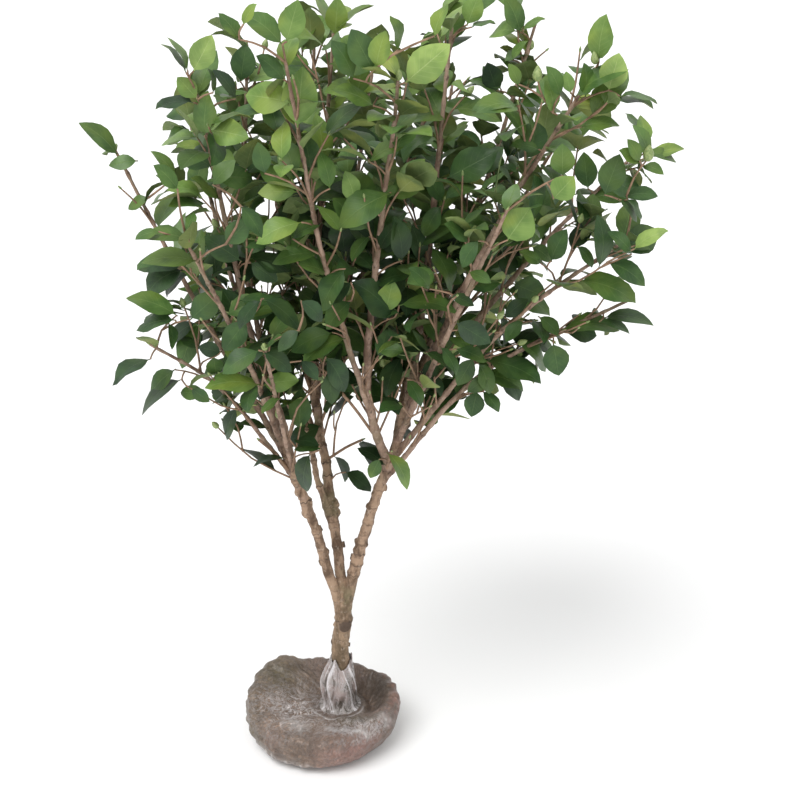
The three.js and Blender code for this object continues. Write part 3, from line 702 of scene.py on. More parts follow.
def tube_arrays(points, radii, sides):
    """Corners and faces of a round closed tube along points."""
    points = np.array(points)
    headings = np.gradient(points, axis=0)
    corners = []
    side = None
    for place, heading, radius in zip(points, headings, radii):
        heading = unit(heading)
        side = across_of(heading)[0] if side is None else unit(side - heading * np.dot(side, heading))
        other = np.cross(heading, side)
        for i in range(sides):
            angle = TURN * i / sides
            corners.append(place + (side * math.cos(angle) + other * math.sin(angle)) * radius)
    faces = []
    for ring in range(len(points) - 1):
        for i in range(sides):
            a, b = ring * sides + i, ring * sides + (i + 1) % sides
            faces.append([a, b, b + sides, a + sides])
    first, last = len(corners), len(corners) + 1
    corners += [points[0], points[-1] + unit(headings[-1]) * radii[-1] * 0.7]
    for i in range(sides):
        j = (i + 1) % sides
        end = (len(points) - 1) * sides
        faces += [[first, j, i, -1], [last, end + i, end + j, -1]]
    return np.array(corners), np.array(faces)


def joined(parts):
    """Several (corners, faces) as one."""
    corners, faces, count = [], [], 0
    for part_corners, part_faces in parts:
        corners.append(part_corners)
        faces.append(np.where(part_faces >= 0, part_faces + count, -1))
        count += len(part_corners)
    return np.concatenate(corners), np.concatenate(faces)


# ---------------------------------------------------------------- trunk, stems and boughs

# Swellings on the stems where old shoots crowd together: limb, share of its length, size, count.
BURLS = [("stem_right", 0.405, 0.0150, 9), ("stem_left", 0.235, 0.0125, 7), ("stem_left", 0.285, 0.0115, 5),
         ("stem_mid", 0.165, 0.0125, 4), ("stem_right", 0.245, 0.0125, 3), ("trunk", 0.83, 0.0150, 3),
         ("stem_right", 0.16, 0.0115, 3), ("stem_left", 0.13, 0.0105, 3)]
# Round knots, left by shoots that were cut off: limb, share, angle round it, radius.
KNOTS = [("trunk", 0.80, 5.0, 0.0085), ("trunk", 0.62, 3.4, 0.0026), ("trunk", 0.6, 6.1, 0.0024),
         ("stem_left", 0.12, 3.2, 0.0034), ("stem_right", 0.13, 3.1, 0.004),
         ("stem_right", 0.27, 0.4, 0.0036),
         ("stem_mid", 0.1, 0.2, 0.0034), ("stem_mid", 0.2, 3.4, 0.004), ("stem_left", 0.19, 0.1, 0.0034)]


def node_shares(limb, rng, start, end):
    """Where a limb has the ring-like scars of its old leaves."""
    shares, share = [], start
    while share < end:
        shares.append(share)
        share += rng.uniform(0.014, 0.036) / limb.path.length
    return shares


def bark_tube(limb, start, end, step, sides, collar=0.0):
    """A limb as a tube that wanders a little, widened at its foot like the collar of a real branch."""
    shares = np.linspace(start, end, max(4, int(limb.path.length * (end - start) / step)))
    points, radii = limb.path.at_all(shares), []
    for i, share in enumerate(shares):
        radius = limb.radius_at(share)
        from_foot = share * limb.path.length / (limb.radius_at(0) * 2.2)
        radii.append(radius * (1 + collar * math.exp(-(from_foot**2))))
        spot = Vector(points[i]) * 22
        shift = (noise.noise(spot), noise.noise(spot + Vector((9, 9, 9))), 0)
        points[i] += np.array(shift) * radius * min(0.4, 0.1 + from_foot * 0.1)
    return tube_arrays(points, radii, sides)


def lump_arrays(place, radius, stretch):
    """A small rounded lump, to be blended into a stem."""
    shares = np.array([-1, -0.75, -0.3, 0.3, 0.75, 1])
    points = [place + stretch * radius * share for share in shares]
    return tube_arrays(points, radius * np.sqrt(np.maximum(1 - shares**2 * 0.92, 0)), 10)


def knot_place(limb, share, angle, out=1.0):
    side, other = across_of(limb.path.heading(share))
    way = side * math.cos(angle) + other * math.sin(angle)
    return limb.path.at(share) + way * limb.radius_at(share) * out, way


def scar_bark(piece, rings, knots):
    """Raises the nodes and hollows the knots of blended stems, and marks both as scars for the bark."""
    mesh = piece.data
    count = len(mesh.vertices)
    places, normals = np.empty(count * 3), np.empty(count * 3)
    mesh.vertices.foreach_get("co", places)
    mesh.vertices.foreach_get("normal", normals)
    places, normals = places.reshape(-1, 3), normals.reshape(-1, 3)
    scar, swell = np.zeros(count), np.zeros(count)
    for place, heading, radius, strength in rings:
        near = np.linalg.norm(places - place, axis=1) < radius * 1.7
        off = ((places[near] - place) * heading).sum(axis=1)
        off = off + 0.0012 * np.sin(places[near][:, 0] * 900 + strength * 40)
        swell[near] += strength * 0.0016 * np.exp(-((off / 0.0042) ** 2))
        scar[near] = np.maximum(scar[near], strength * 0.8 * np.exp(-((off / 0.0008) ** 2)))
    for place, radius in knots:
        off = np.linalg.norm(places - place, axis=1) / radius
        swell += 0.0022 * np.exp(-(((off - 1.0) / 0.45) ** 2)) - 0.003 * np.exp(-((off / 0.6) ** 2))
        scar = np.maximum(scar, np.exp(-((off / 1.1) ** 2)))
    places += normals * swell[:, None]
    mesh.vertices.foreach_set("co", places.ravel())
    mesh.attributes.new("scar", "FLOAT", "POINT").data.foreach_set("value", scar.astype(np.float32))
    mesh.update()


def rough_bark(piece, coarse, fine):
    """Presses the bark's relief into a mesh."""
    for size, strength in ((0.011, coarse), (0.0035, fine)):
        texture = bpy.data.textures.new("bark_relief", "CLOUDS")
        texture.noise_scale, texture.noise_depth = size, 2
        modifier = piece.modifiers.new("relief", "DISPLACE")
        modifier.texture, modifier.strength, modifier.mid_level = texture, strength, 0.5
        modifier.texture_coords = "LOCAL"
    apply_modifiers(piece)


def make_stems():
    rng = random.Random(4)
    names = ("trunk", "stem_mid", "stem_left", "stem_right")
    parts, rings = [bark_tube(limbs["trunk"], 0.03, 1.0, 0.004, 24)], []
    for name in names[1:]:
        parts.append(bark_tube(limbs[name], 0.0, limbs[name].bare + 0.05, 0.004, 18, 0.12))
    parts.append(bark_tube(fork, 0.0, 1.0, 0.004, 14, 0.12))
    for limb in [*(limbs[name] for name in names), fork]:
        for share in node_shares(limb, rng, 0.1, min(limb.bare + 0.05, 0.97)):
            rings.append((
                limb.path.at(share), limb.path.heading(share), limb.radius_at(share), rng.uniform(0.3, 1)
            ))
    for name, share, size, count in BURLS:
        limb = limbs[name]
        for _ in range(count):
            near = share + rng.uniform(-0.014, 0.014) / limb.path.length
            place, way = knot_place(limb, near, rng.uniform(0, TURN), 0.3)
            parts.append(lump_arrays(place, size * rng.uniform(0.6, 0.78), way))
    knots = []
    for name, share, angle, radius in KNOTS:
        place, way = knot_place(limbs[name], share, angle, 0.86)
        parts.append(lump_arrays(place, radius * 1.15, way))
        knots.append((place + way * radius * 1.1, radius))
    piece = mesh_piece("stems", *joined(parts), [BARK])
    remesh = piece.modifiers.new("blend", "REMESH")
    remesh.mode, remesh.voxel_size = "VOXEL", 0.0013
    soften = piece.modifiers.new("soften", "SMOOTH")
    soften.factor, soften.iterations = 0.6, 4
    apply_modifiers(piece)
    scar_bark(piece, rings, knots)
    rough_bark(piece, 0.0018, 0.0008)
    cut_foot(piece)
    make_active(piece)
    bpy.ops.object.shade_smooth()
    claim(piece, list(names))


def cut_foot(piece):
    """Cuts the trunk flat where it stands on the soil's seat."""
    make_active(piece)
    bpy.ops.object.mode_set(mode="EDIT")
    bpy.ops.mesh.select_all(action="SELECT")
    bpy.ops.mesh.bisect(
        plane_co=(0, 0, SEAT_HEIGHT + 0.0003), plane_no=(0, 0, 1), clear_inner=True, use_fill=True
    )
    bpy.ops.object.mode_set(mode="OBJECT")


def make_boughs():
    """Each bough whole, and the stems' leaders, which carry on out of the blended stems."""
    rng = random.Random(8)
    parts, rings = [], []
    for limb in leafy:
        if limb.name.startswith("stem"):
            parts.append(bark_tube(limb, limb.bare - 0.02, 1, 0.005, 12))
        elif limb.name.startswith("bough"):
            parts.append(bark_tube(limb, 0, 1, 0.005, 12, 0.45))
        if not limb.name.startswith("spur"):
            for share in node_shares(limb, rng, 0.05, 0.97):
                rings.append((
                    limb.path.at(share), limb.path.heading(share), limb.radius_at(share),
                    rng.uniform(0.2, 0.8),
                ))
    piece = mesh_piece("boughs", *joined(parts), [BOUGH_BARK])
    scar_bark(piece, rings, [])
    rough_bark(piece, 0.0007, 0.0004)
    make_active(piece)
    bpy.ops.object.shade_smooth()
    claim(piece, [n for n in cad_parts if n.startswith("bough")])


# ---------------------------------------------------------------- growing twigs and leaves

def seen_from_eye(points):
    """Where points appear to be on the upright plane through the origin, x and z, and their own depths."""
    points = np.atleast_2d(points)
    share = -EYE[1] / (points[:, 1] - EYE[1])
    return EYE[[0, 2]] + (points[:, [0, 2]] - EYE[[0, 2]]) * share[:, None], points[:, 1]


def behind_plane(spot, depth):
    """The place at a depth that appears to be at a spot on that plane."""
    share = (depth - EYE[1]) / -EYE[1]
    return EYE + (np.array([spot[0], 0, spot[1]]) - EYE) * share


def on_plane(x, y):
    """The place on that plane, its x and z to the nearest millimetre, that a spot of the view shows."""
    down = VIEW_PITCH + math.atan((y - VIEW_MIDDLE) / VIEW_FOCAL)
    height = EYE[2] + EYE[1] * math.tan(down)
    depth = (EYE[2] - height) * math.sin(VIEW_PITCH) - EYE[1] * math.cos(VIEW_PITCH)
    side = EYE[0] + (x - VIEW_MIDDLE) / VIEW_FOCAL * depth
    return np.round(np.array([side, height]) / MM) * MM


left_edge, right_edge = (
    np.array([on_plane(*spot) for spot in reversed(edge)]).T for edge in (EDGE_LEFT, EDGE_RIGHT)
)
windows = [(on_plane(x, y), radius * WINDOW_SCALE) for x, y, radius in WINDOWS]


def within_reach(seen):
    """True where every spot on the plane lies inside the crown's edge."""
    sides, heights = seen.T
    left = np.interp(heights, left_edge[1], left_edge[0])
    right = np.interp(heights, right_edge[1], right_edge[0])
    return (sides > left).all() and (sides < right).all() and (heights > left_edge[1, 0]).all()


class Crown:
    """Twigs, leaves and buds, grown one mass after another by a seeded rule."""

    def __init__(self):
        self.twigs, self.leaves, self.buds = [], [], []
        self.taken = np.zeros((0, 3))
        starts, ends, radii = [], [], []
        for limb in limbs.values():
            shares = np.linspace(0, 1, 15)
            places = limb.path.at_all(shares)
            starts += list(places[:-1])
            ends += list(places[1:])
            radii += [limb.radius_at(share) for share in shares[:-1]]
        self.starts, self.ways = np.array(starts), np.array(ends) - np.array(starts)
        self.radii = np.array(radii)
        shown = [
            limbs[name].path.at_all(np.arange(start, end, 0.006 / limbs[name].path.length))
            for name, (start, end) in SHOWN.items()
        ]
        self.shown, self.shown_depth = seen_from_eye(np.concatenate(shown))
        self.low = np.array(cad_box[0]) - 0.006
        self.high = np.array(cad_box[1]) + 0.006

    def place_leaves(self, rng):
        """The leaves that stand out at the front, each on a short shoot from the limb behind it."""
        shares = np.linspace(0.05, 1, 60)
        points = np.concatenate([limb.path.at_all(shares) for limb in leafy])
        headings = [limb.path.heading(share) for limb in leafy for share in shares]
        radii = [limb.radius_at(share) for limb in leafy for share in shares]
        for foot_x, foot_y, tip_x, tip_y, width, tint in PLACED:
            foot, tip = on_plane(foot_x, foot_y), on_plane(tip_x, tip_y)
            seen, depth = seen_from_eye(points)
            away = foot - seen
            off = np.linalg.norm(away, axis=1)
            below = away[:, 1] < 0.35 * off
            choice = int(np.argmin(off + 0.22 * (depth + 0.3) + 0.05 * below))
            nearer = depth[choice] - radii[choice] - 0.004 - 0.3 * off[choice]
            foot = behind_plane(foot, nearer)
            length = np.linalg.norm(behind_plane(tip, nearer) - foot)
            tip = behind_plane(tip, nearer - length * rng.uniform(-0.15, 0.3))
            chord, length = unit(tip - foot), np.linalg.norm(tip - foot)
            facing = unit(EYE - foot)
            facing = unit(facing - chord * np.dot(facing, chord))
            tilt = math.acos(min(1, width / 0.6))
            over = np.cross(chord, facing)
            over = over if over[2] > 0 else -over
            up = facing * math.cos(tilt) + over * math.sin(tilt)
            bend = rng.uniform(0.35, 0.6) + 0.7 * math.sin(tilt)
            half = bend / 2
            along = chord * math.cos(half) + up * math.sin(half)
            up = up * math.cos(half) - chord * math.sin(half)
            leaf = {
                "foot": foot, "along": along, "across": np.cross(up, along), "up": up,
                "length": length * half / math.sin(half), "width": max(0.56, width * 0.95), "bend": bend,
                "fold": rng.uniform(0.05, 0.25), "twist": rng.uniform(-0.25, 0.25),
                "wave": rng.uniform(0, 0.05), "phase": rng.uniform(0, TURN), "tint_name": tint,
            }
            points_of = leaf_points(leaf)
            if (points_of < self.low - 0.006).any() or (points_of > self.high + 0.006).any():
                continue
            if tint == "bud":
                self.buds.append((foot, unit(tip - foot), 0, length))
            else:
                self.leaves.append(leaf)
            leaf_seen, leaf_depth = seen_from_eye(points_of)
            self.shown = np.concatenate([self.shown, leaf_seen])
            self.shown_depth = np.concatenate([self.shown_depth, leaf_depth])
            edge = points_of[LEAF_TEST_INNER:].reshape(-1, len(LEAF_TEST_COLUMNS), 3)[:, ::2].reshape(-1, 3)
            self.taken = np.concatenate([self.taken, edge])
            self.add_stalk(points[choice], headings[choice], foot, along)
            path = self.twigs[-1][0]
            points = np.concatenate([points, path.at_all([0.5, 0.75, 1])])
            headings += [path.heading(share) for share in (0.5, 0.75, 1)]
            radii += [0.0012] * 3

    def add_stalk(self, start, heading, foot, along):
        """A short shoot from a limb or another shoot to a leaf's foot."""
        reach = np.linalg.norm(foot - start)
        sag = heading * reach * 0.12
        path = Path([start, (start + foot) / 2 + sag, foot + along * 0.002], 8)
        self.twigs.append((path, 0.0012 + reach * 0.008, 0.0011))

    def clearance(self, points):
        """The least distance from the points to the limbs' bark."""
        to = points[:, None, :] - self.starts[None]
        share = np.clip((to * self.ways).sum(-1) / (self.ways**2).sum(-1), 0, 1)
        off = np.linalg.norm(to - share[..., None] * self.ways, axis=-1) - self.radii
        return off.min()

    def hides(self, points):
        """True where a leaf would cross the crown's edge, close an opening or cover a limb that shows."""
        seen, depth = seen_from_eye(points)
        if not within_reach(seen):
            return True
        for middle, radius in windows:
            if (np.linalg.norm(seen - middle, axis=1) < radius).any():
                return True
        near = np.abs(seen[:, None, :] - self.shown[None]).max(-1) < 0.0055
        return (near & (depth[:, None] < self.shown_depth[None] - 0.012)).any()

    def fits(self, leaf):
        points = leaf_points(leaf)
        outer = points[LEAF_TEST_INNER:]
        if (points < self.low).any() or (points > self.high).any():
            return False
        if self.clearance(outer) < LEAF_CLEAR or self.hides(outer):
            return False
        edge = outer.reshape(-1, len(LEAF_TEST_COLUMNS), 3)[:, ::2].reshape(-1, 3)
        if len(self.taken):
            gaps = np.linalg.norm(edge[:, None, :] - self.taken[None], axis=-1)
            if gaps.min() < LEAF_APART:
                return False
        self.taken = np.concatenate([self.taken, edge])
        return True

    def add_leaf(self, rng, foot, heading, turn, lean, height_share):
        length = LEAF_LENGTH * rng.uniform(*LEAF_LENGTHS)
        droop = rng.uniform(*lerp(np.array([-0.1, 0.5]), np.array([-0.5, 0.2]), height_share))
        roll = rng.uniform(-0.9, 0.9)
        shape = {
            "width": rng.uniform(*LEAF_WIDTHS),
            "bend": rng.uniform(0.3, 1.6),
            "fold": rng.uniform(0.05, 0.36),
            "twist": rng.uniform(-0.5, 0.5),
            "wave": rng.uniform(0, 0.05),
            "phase": rng.uniform(0, TURN),
        }
        tint = rng.random()
        for flip, share in LEAF_TRIES:
            along = unit(leaning(heading, turn + flip, lean) - UP * droop)
            face = heading * 0.6 + UP * 0.5
            across = turned(unit(np.cross(face, along)), along, roll)
            leaf = {
                "foot": foot, "along": along, "across": across, "up": np.cross(along, across),
                "length": length * share, "tint": tint, "height_share": height_share, **shape,
            }
            if self.fits(leaf):
                self.leaves.append(leaf)
                return True
        return False

    def add_leaves(self, rng, at, heading, length, first, height_share, spacing=LEAF_SPACING):
        """Leaves from a share of a shoot to its tip, turning round it, and a cluster at the tip."""
        count = max(1, round(length * (1 - first) / spacing))
        turn = rng.random() * TURN
        for i in range(count):
            share = lerp(first, 0.94, (i + 0.3 * rng.random()) / count)
            self.add_leaf(rng, at(share), heading(share), turn, rng.uniform(0.5, 1.15), height_share * share)
            turn += GOLDEN_ANGLE
        for i in range(3):
            share = 1 - 0.005 * (i + 0.3) / length
            self.add_leaf(rng, at(share), heading(share), turn, rng.uniform(0.25, 0.75), height_share)
            turn += math.radians(125)

    def add_twig(self, rng, start, along, length, radius, height_share, order, spacing):
        bend = leaning(along, rng.uniform(0, TURN), math.pi / 2) * length * rng.uniform(0.03, 0.1)
        for share in (1, 0.7, 0.45):
            end = start + along * length * share + UP * length * share * 0.08
            path = Path([start, (start + end) / 2 + bend * share, end], 8)
            outer = path.at_all([0.45, 0.7, 1])
            if (self.clearance(outer) > 0.002 and within_reach(seen_from_eye(outer)[0])
                    and (end > self.low).all() and (end < self.high).all()):
                break
        else:
            return
        length *= share
        self.twigs.append((path, radius, TWIG_TIP_RADIUS))
        first = 0.2 if order == 1 else 0.35
        self.add_leaves(rng, path.at, path.heading, length, first, height_share, spacing)
        self.buds.append((end, path.heading(1), rng.random(), 0))
        if order == 1 and length > 0.075:
            for share in (0.38, 0.62):
                if rng.random() < 0.45:
                    way = unit(leaning(path.heading(share), rng.uniform(0, TURN), 0.65) + UP * 0.2)
                    self.add_twig(rng, path.at(share), way, length * rng.uniform(0.4, 0.6),
                                  radius * 0.85, height_share, 2, spacing)

    def grow(self, limb, seed):
        rng = random.Random(seed)
        long = limb.leader_length
        fullness = SPARSE.get(limb.name, 1)
        spacing = LEAF_SPACING / fullness
        count = round(long * (TWIG_LAST - TWIG_FIRST) / TWIG_SPACING * fullness)
        if limb.name.startswith("spur"):
            count = round(count * 0.6)
        turn = rng.random() * TURN
        for i in range(count):
            share = lerp(TWIG_FIRST, TWIG_LAST, (i + 0.6 * rng.random()) / count)
            angle = math.radians(TWIG_ANGLE + rng.uniform(-TWIG_ANGLE_SPREAD, TWIG_ANGLE_SPREAD))
            along = unit(leaning(limb.leader_heading(share), turn, angle) + UP * TWIG_RISE)
            length = TWIG_LENGTH * lerp(1, TWIG_SHORTEST, share) * rng.uniform(0.7, 1.2)
            turn += GOLDEN_ANGLE
            self.add_twig(rng, limb.leader_at(share), along, length, TWIG_RADIUS,
                          height_share_of(limb, share), 1, spacing)
        self.add_leaves(rng, limb.leader_at, limb.leader_heading, long, 0.12, height_share_of(limb, 1),
                        spacing * 1.2)
        self.buds.append((limb.leader_at(1), limb.leader_heading(1), rng.random(), 0))


def height_share_of(limb, share):
    """How near a shoot is to the crown's top, from 0 to 1: its leaves point up and get the paler tints of
    painted light.
    """
    height = limb.leader_at(share)[2]
    return float(np.clip((height - 0.72) / 0.42, 0, 1)) * 0.85 + 0.1


def leaf_half_width(v):
    """Half the width of a leaf of width 1, with its narrow stalk."""
    t = np.clip((v - PETIOLE) / (1 - PETIOLE), 0, 1)
    blade = 0.5 * np.sin(math.pi * t**0.86) ** 0.85
    return np.maximum(blade, 0)


LEAF_TEST_ROWS = np.array([0.2, 0.4, 0.6, 0.8, 1.0])
LEAF_TEST_COLUMNS = np.array([-1.0, -0.5, 0.0, 0.5, 1.0])
LEAF_TEST_INNER = len(LEAF_TEST_COLUMNS)


def midrib(length, bend, v):
    """Distances along and down that a bent midrib has gone at shares of its length."""
    angle = bend * v
    safe = max(bend, 1e-3)
    return length * np.sin(angle) / safe, -length * (1 - np.cos(angle)) / safe


def leaf_points(leaf):
    """Points spread over a leaf, to test its place."""
    forward, down = midrib(leaf["length"], leaf["bend"], LEAF_TEST_ROWS)
    half = leaf_half_width(LEAF_TEST_ROWS) * leaf["width"] * leaf["length"]
    centre = leaf["foot"] + forward[:, None] * leaf["along"] + down[:, None] * leaf["up"]
    points = centre[:, None, :] + (half[:, None] * LEAF_TEST_COLUMNS)[..., None] * leaf["across"]
    return points.reshape(-1, 3)


def leaf_corners(leaf):
    """The upper side's grid and the under side's inner grid of one leaf."""
    v, u = LEAF_ROWS, LEAF_COLUMNS
    length, stalk = leaf["length"], 0.0010
    forward, down = midrib(length, leaf["bend"], v)
    half = np.where(v < 0.99, np.maximum(leaf_half_width(v) * leaf["width"] * length, stalk), 0)
    blade = (half > stalk * 1.5)[:, None]
    angle, twist = leaf["bend"] * v, leaf["twist"] * v
    out = half[:, None] * u
    lift = leaf["fold"] * np.abs(out) - 2.2 * leaf["fold"] * out**2 / length
    ripple = np.sin(TURN * 1.4 * v + leaf["phase"])[:, None] * np.abs(u)
    lift = (lift + leaf["wave"] * length * ripple) * blade
    across = out * np.cos(twist)[:, None] - lift * np.sin(twist)[:, None]
    height = out * np.sin(twist)[:, None] + lift * np.cos(twist)[:, None]
    grid = (
        leaf["foot"]
        + (forward[:, None] + height * np.sin(angle)[:, None])[..., None] * leaf["along"]
        + (down[:, None] + height * np.cos(angle)[:, None])[..., None] * leaf["up"]
        + across[..., None] * leaf["across"]
    )
    normal = np.cross(grid[2:, 1:-1] - grid[:-2, 1:-1], grid[1:-1, 2:] - grid[1:-1, :-2])
    normal /= np.linalg.norm(normal, axis=-1, keepdims=True)
    thick = np.where(blade, np.where(np.abs(u[1:-1]) < 0.1, 0.0010, 0.0005), 0.0012)[1:-1]
    under = grid[1:-1, 1:-1] - thick[..., None] * normal
    return np.concatenate([grid[:-1].reshape(-1, 3), grid[-1, 2][None], under.reshape(-1, 3)])


def leaf_template():
    """The faces of one leaf, which of them are under it, and its map."""
    rows, columns = len(LEAF_ROWS), len(LEAF_COLUMNS)
    tip = (rows - 1) * columns
    inner = columns - 2

    def top(row, column):
        return tip if row == rows - 1 else row * columns + column

    def under(row, column):
        if 0 < row < rows - 1 and 0 < column < columns - 1:
            return tip + 1 + (row - 1) * inner + column - 1
        return top(row, column)

    faces, is_under = [], []
    for row in range(rows - 1):
        for column in range(columns - 1):
            for corner, side in ((top, 0), (under, 1)):
                ring = [corner(row, column), corner(row, column + 1),
                        corner(row + 1, column + 1), corner(row + 1, column)]
                if row == rows - 2:
                    ring = ring[:3]
                if side == 0:
                    ring = [ring[0], *ring[:0:-1]]  # both sides are split along the same diagonal
                faces.append(ring + [-1] * (4 - len(ring)))
                is_under.append(side)
    u = (LEAF_COLUMNS + 1) / 2
    grid = [(a, b) for b in LEAF_ROWS[:-1] for a in u] + [(0.5, 1.0)]
    grid += [(a, b) for b in LEAF_ROWS[1:-1] for a in u[1:-1]]
    return np.array(faces), np.array(is_under), np.array(grid)


def tint_of(leaf):
    """A paler tint, painted light, for leaves near the crown's top, and a darker one, painted shade, lower
    down, with a random spread between them.
    """
    if "tint_name" in leaf:
        return leaf["tint_name"]
    place = leaf["height_share"] * 0.55 + leaf["tint"] * 0.5
    for tint, limit in zip(TINTS, (0.22, 0.42, 0.68, 0.9)):
        if place < limit:
            return tint
    return TINTS[-1]


def make_leaves(crown, nodes):
    faces, is_under, uvs = leaf_template()
    for tint in TINTS:
        chosen = [leaf for leaf in crown.leaves if tint_of(leaf) == tint]
        parts = [(leaf_corners(leaf), faces) for leaf in chosen]
        corners, all_faces = joined(parts)
        piece = mesh_piece(
            f"leaves_{tint}", corners, all_faces, [LEAF_FACES[tint], UNDERSIDE],
            np.tile(is_under, len(chosen)), np.tile(uvs, (len(chosen), 1)),
        )
        claim(piece, nodes)


def make_twigs(crown, nodes):
    parts = []
    for path, radius, tip_radius in crown.twigs:
        shares = np.linspace(0, 1, 5)
        parts.append(tube_arrays([path.at(s) for s in shares], lerp(radius, tip_radius, shares), 6))
    for limb in leafy:
        if limb.name.startswith("spur"):
            shares = np.linspace(0, 1, 7)
            radii = [limb.radius_at(s) for s in shares]
            parts.append(tube_arrays([limb.path.at(s) for s in shares], radii, 8))
    piece = mesh_piece("twigs", *joined(parts), [TWIG_BARK])
    claim(piece, nodes)


def make_buds(crown, nodes):
    """A pointed bud at each shoot's tip, and here and there a plump flower bud."""
    parts = []
    for place, heading, chance, long in crown.buds:
        plump = chance < 0.16
        length, radius = (0.015, 0.0048) if plump else (0.0085, 0.0017)
        if long:
            length, radius = long, long * 0.32
        shares = np.array([0.0, 0.16, 0.42, 0.72, 0.93])
        widths = np.array([0.4, 0.86, 1.0, 0.66, 0.2])
        points = [place - heading * 0.001 + heading * length * s for s in shares]
        parts.append(tube_arrays(points, widths * radius, 8 if plump else 6))
    piece = mesh_piece("buds", *joined(parts), [BUD_GREEN])
    claim(piece, nodes)


# ---------------------------------------------------------------- root ball and film

def spun(name, profile, steps):
    """A profile of (radius, height) spun round +Z into a closed skin."""
    mesh = bpy.data.meshes.new(name)
    mesh.from_pydata([(r, 0, z) for r, z in profile], [(i, i + 1) for i in range(len(profile) - 1)], [])
    piece = bpy.data.objects.new(name, mesh)
    bpy.context.collection.objects.link(piece)
    make_active(piece)
    bpy.ops.object.mode_set(mode="EDIT")
    bpy.ops.mesh.select_all(action="SELECT")
    bpy.ops.mesh.spin(steps=steps, angle=TURN, center=(0, 0, 0), axis=(0, 0, 1))
    bpy.ops.mesh.select_all(action="SELECT")
    bpy.ops.mesh.remove_doubles(threshold=1e-5)
    bpy.ops.mesh.normals_make_consistent(inside=False)
    bpy.ops.object.mode_set(mode="OBJECT")
    return piece


def move_corners(piece, moved):
    """Moves each corner to where a function of its place says."""
    mesh = piece.data
    places = np.empty(len(mesh.vertices) * 3)
    mesh.vertices.foreach_get("co", places)
    places = np.array([moved(np.array(place)) for place in places.reshape(-1, 3)])
    mesh.vertices.foreach_set("co", places.ravel())
    mesh.update()


def lump_at(angle):
    slow = 0.5 * math.cos(2 * angle + 0.5) + 0.3 * math.sin(3 * angle + 0.6)
    return slow + 0.2 * math.cos(7 * angle + 2.1)


def ball_corner(place):
    """The soil's lumps and hollow, and the film's folds, which run out from the trunk."""
    x, y, z = place
    radius, angle = math.hypot(x, y), math.atan2(y, x)
    lump = lump_at(angle)
    outer = float(smoothstep(radius, SEAT, BALL_RIM))
    raised = float(smoothstep(z, SEAT_HEIGHT * 0.9, BALL_HEIGHT)) * outer
    on_top = z > SEAT_HEIGHT - 1e-6 and radius < BALL_RIM * 0.9
    shift = TRUNK_X * (1 - outer) if on_top else 0
    wider = 1 + 0.045 * lump * outer
    x, y, z = x * wider + shift, y * wider, z + 0.006 * lump * raised
    if radius > SEAT * 1.02 and place[2] > 0.001:
        spot = Vector((x, y, z))
        grown = float(smoothstep(radius, SEAT, SEAT * 1.5)) * min(1, place[2] / 0.012)
        clods = noise.fractal(spot * 26, 1.0, 2.0, 3) * 0.0048
        around = Vector((math.cos(angle), math.sin(angle), 0))
        folds = (abs(noise.noise(around * 8 + Vector((0, 0, z * 7)))) - 0.25) * 0.006
        ragged = noise.noise(around * 24 + Vector((0, 0, z * 90))) * 0.0034 * (1 if z > 0.03 else 0.6)
        push = (clods + folds + ragged) * grown
        lip = 0.0055 * math.exp(-(((place[2] - 0.013) / 0.006) ** 2)) * float(
            smoothstep(math.cos(angle + 2.15), 0.6, 0.9))
        if on_top:
            z += push
        else:
            x, y = x + math.cos(angle) * (push + lip), y + math.sin(angle) * (push + lip)
            z += push * 0.4
        z -= 0.016 * float(smoothstep(-y, -0.02, 0.085)) * float(smoothstep(place[2], 0.02, 0.07)) * outer
        if place[2] > BALL_HEIGHT * 0.6:
            z += 0.011 * math.exp(-(((x + 0.062) / 0.03) ** 2) - ((y - 0.083) / 0.026) ** 2) * grown
            z -= 0.019 * math.exp(-(((x - 0.080) / 0.028) ** 2) - ((y - 0.026) / 0.044) ** 2) * grown
    return x, y, z


def blot(x, y, middle_x, middle_y, reach_x, reach_y):
    return math.exp(-(((x - middle_x) / reach_x) ** 2) - ((y - middle_y) / reach_y) ** 2)


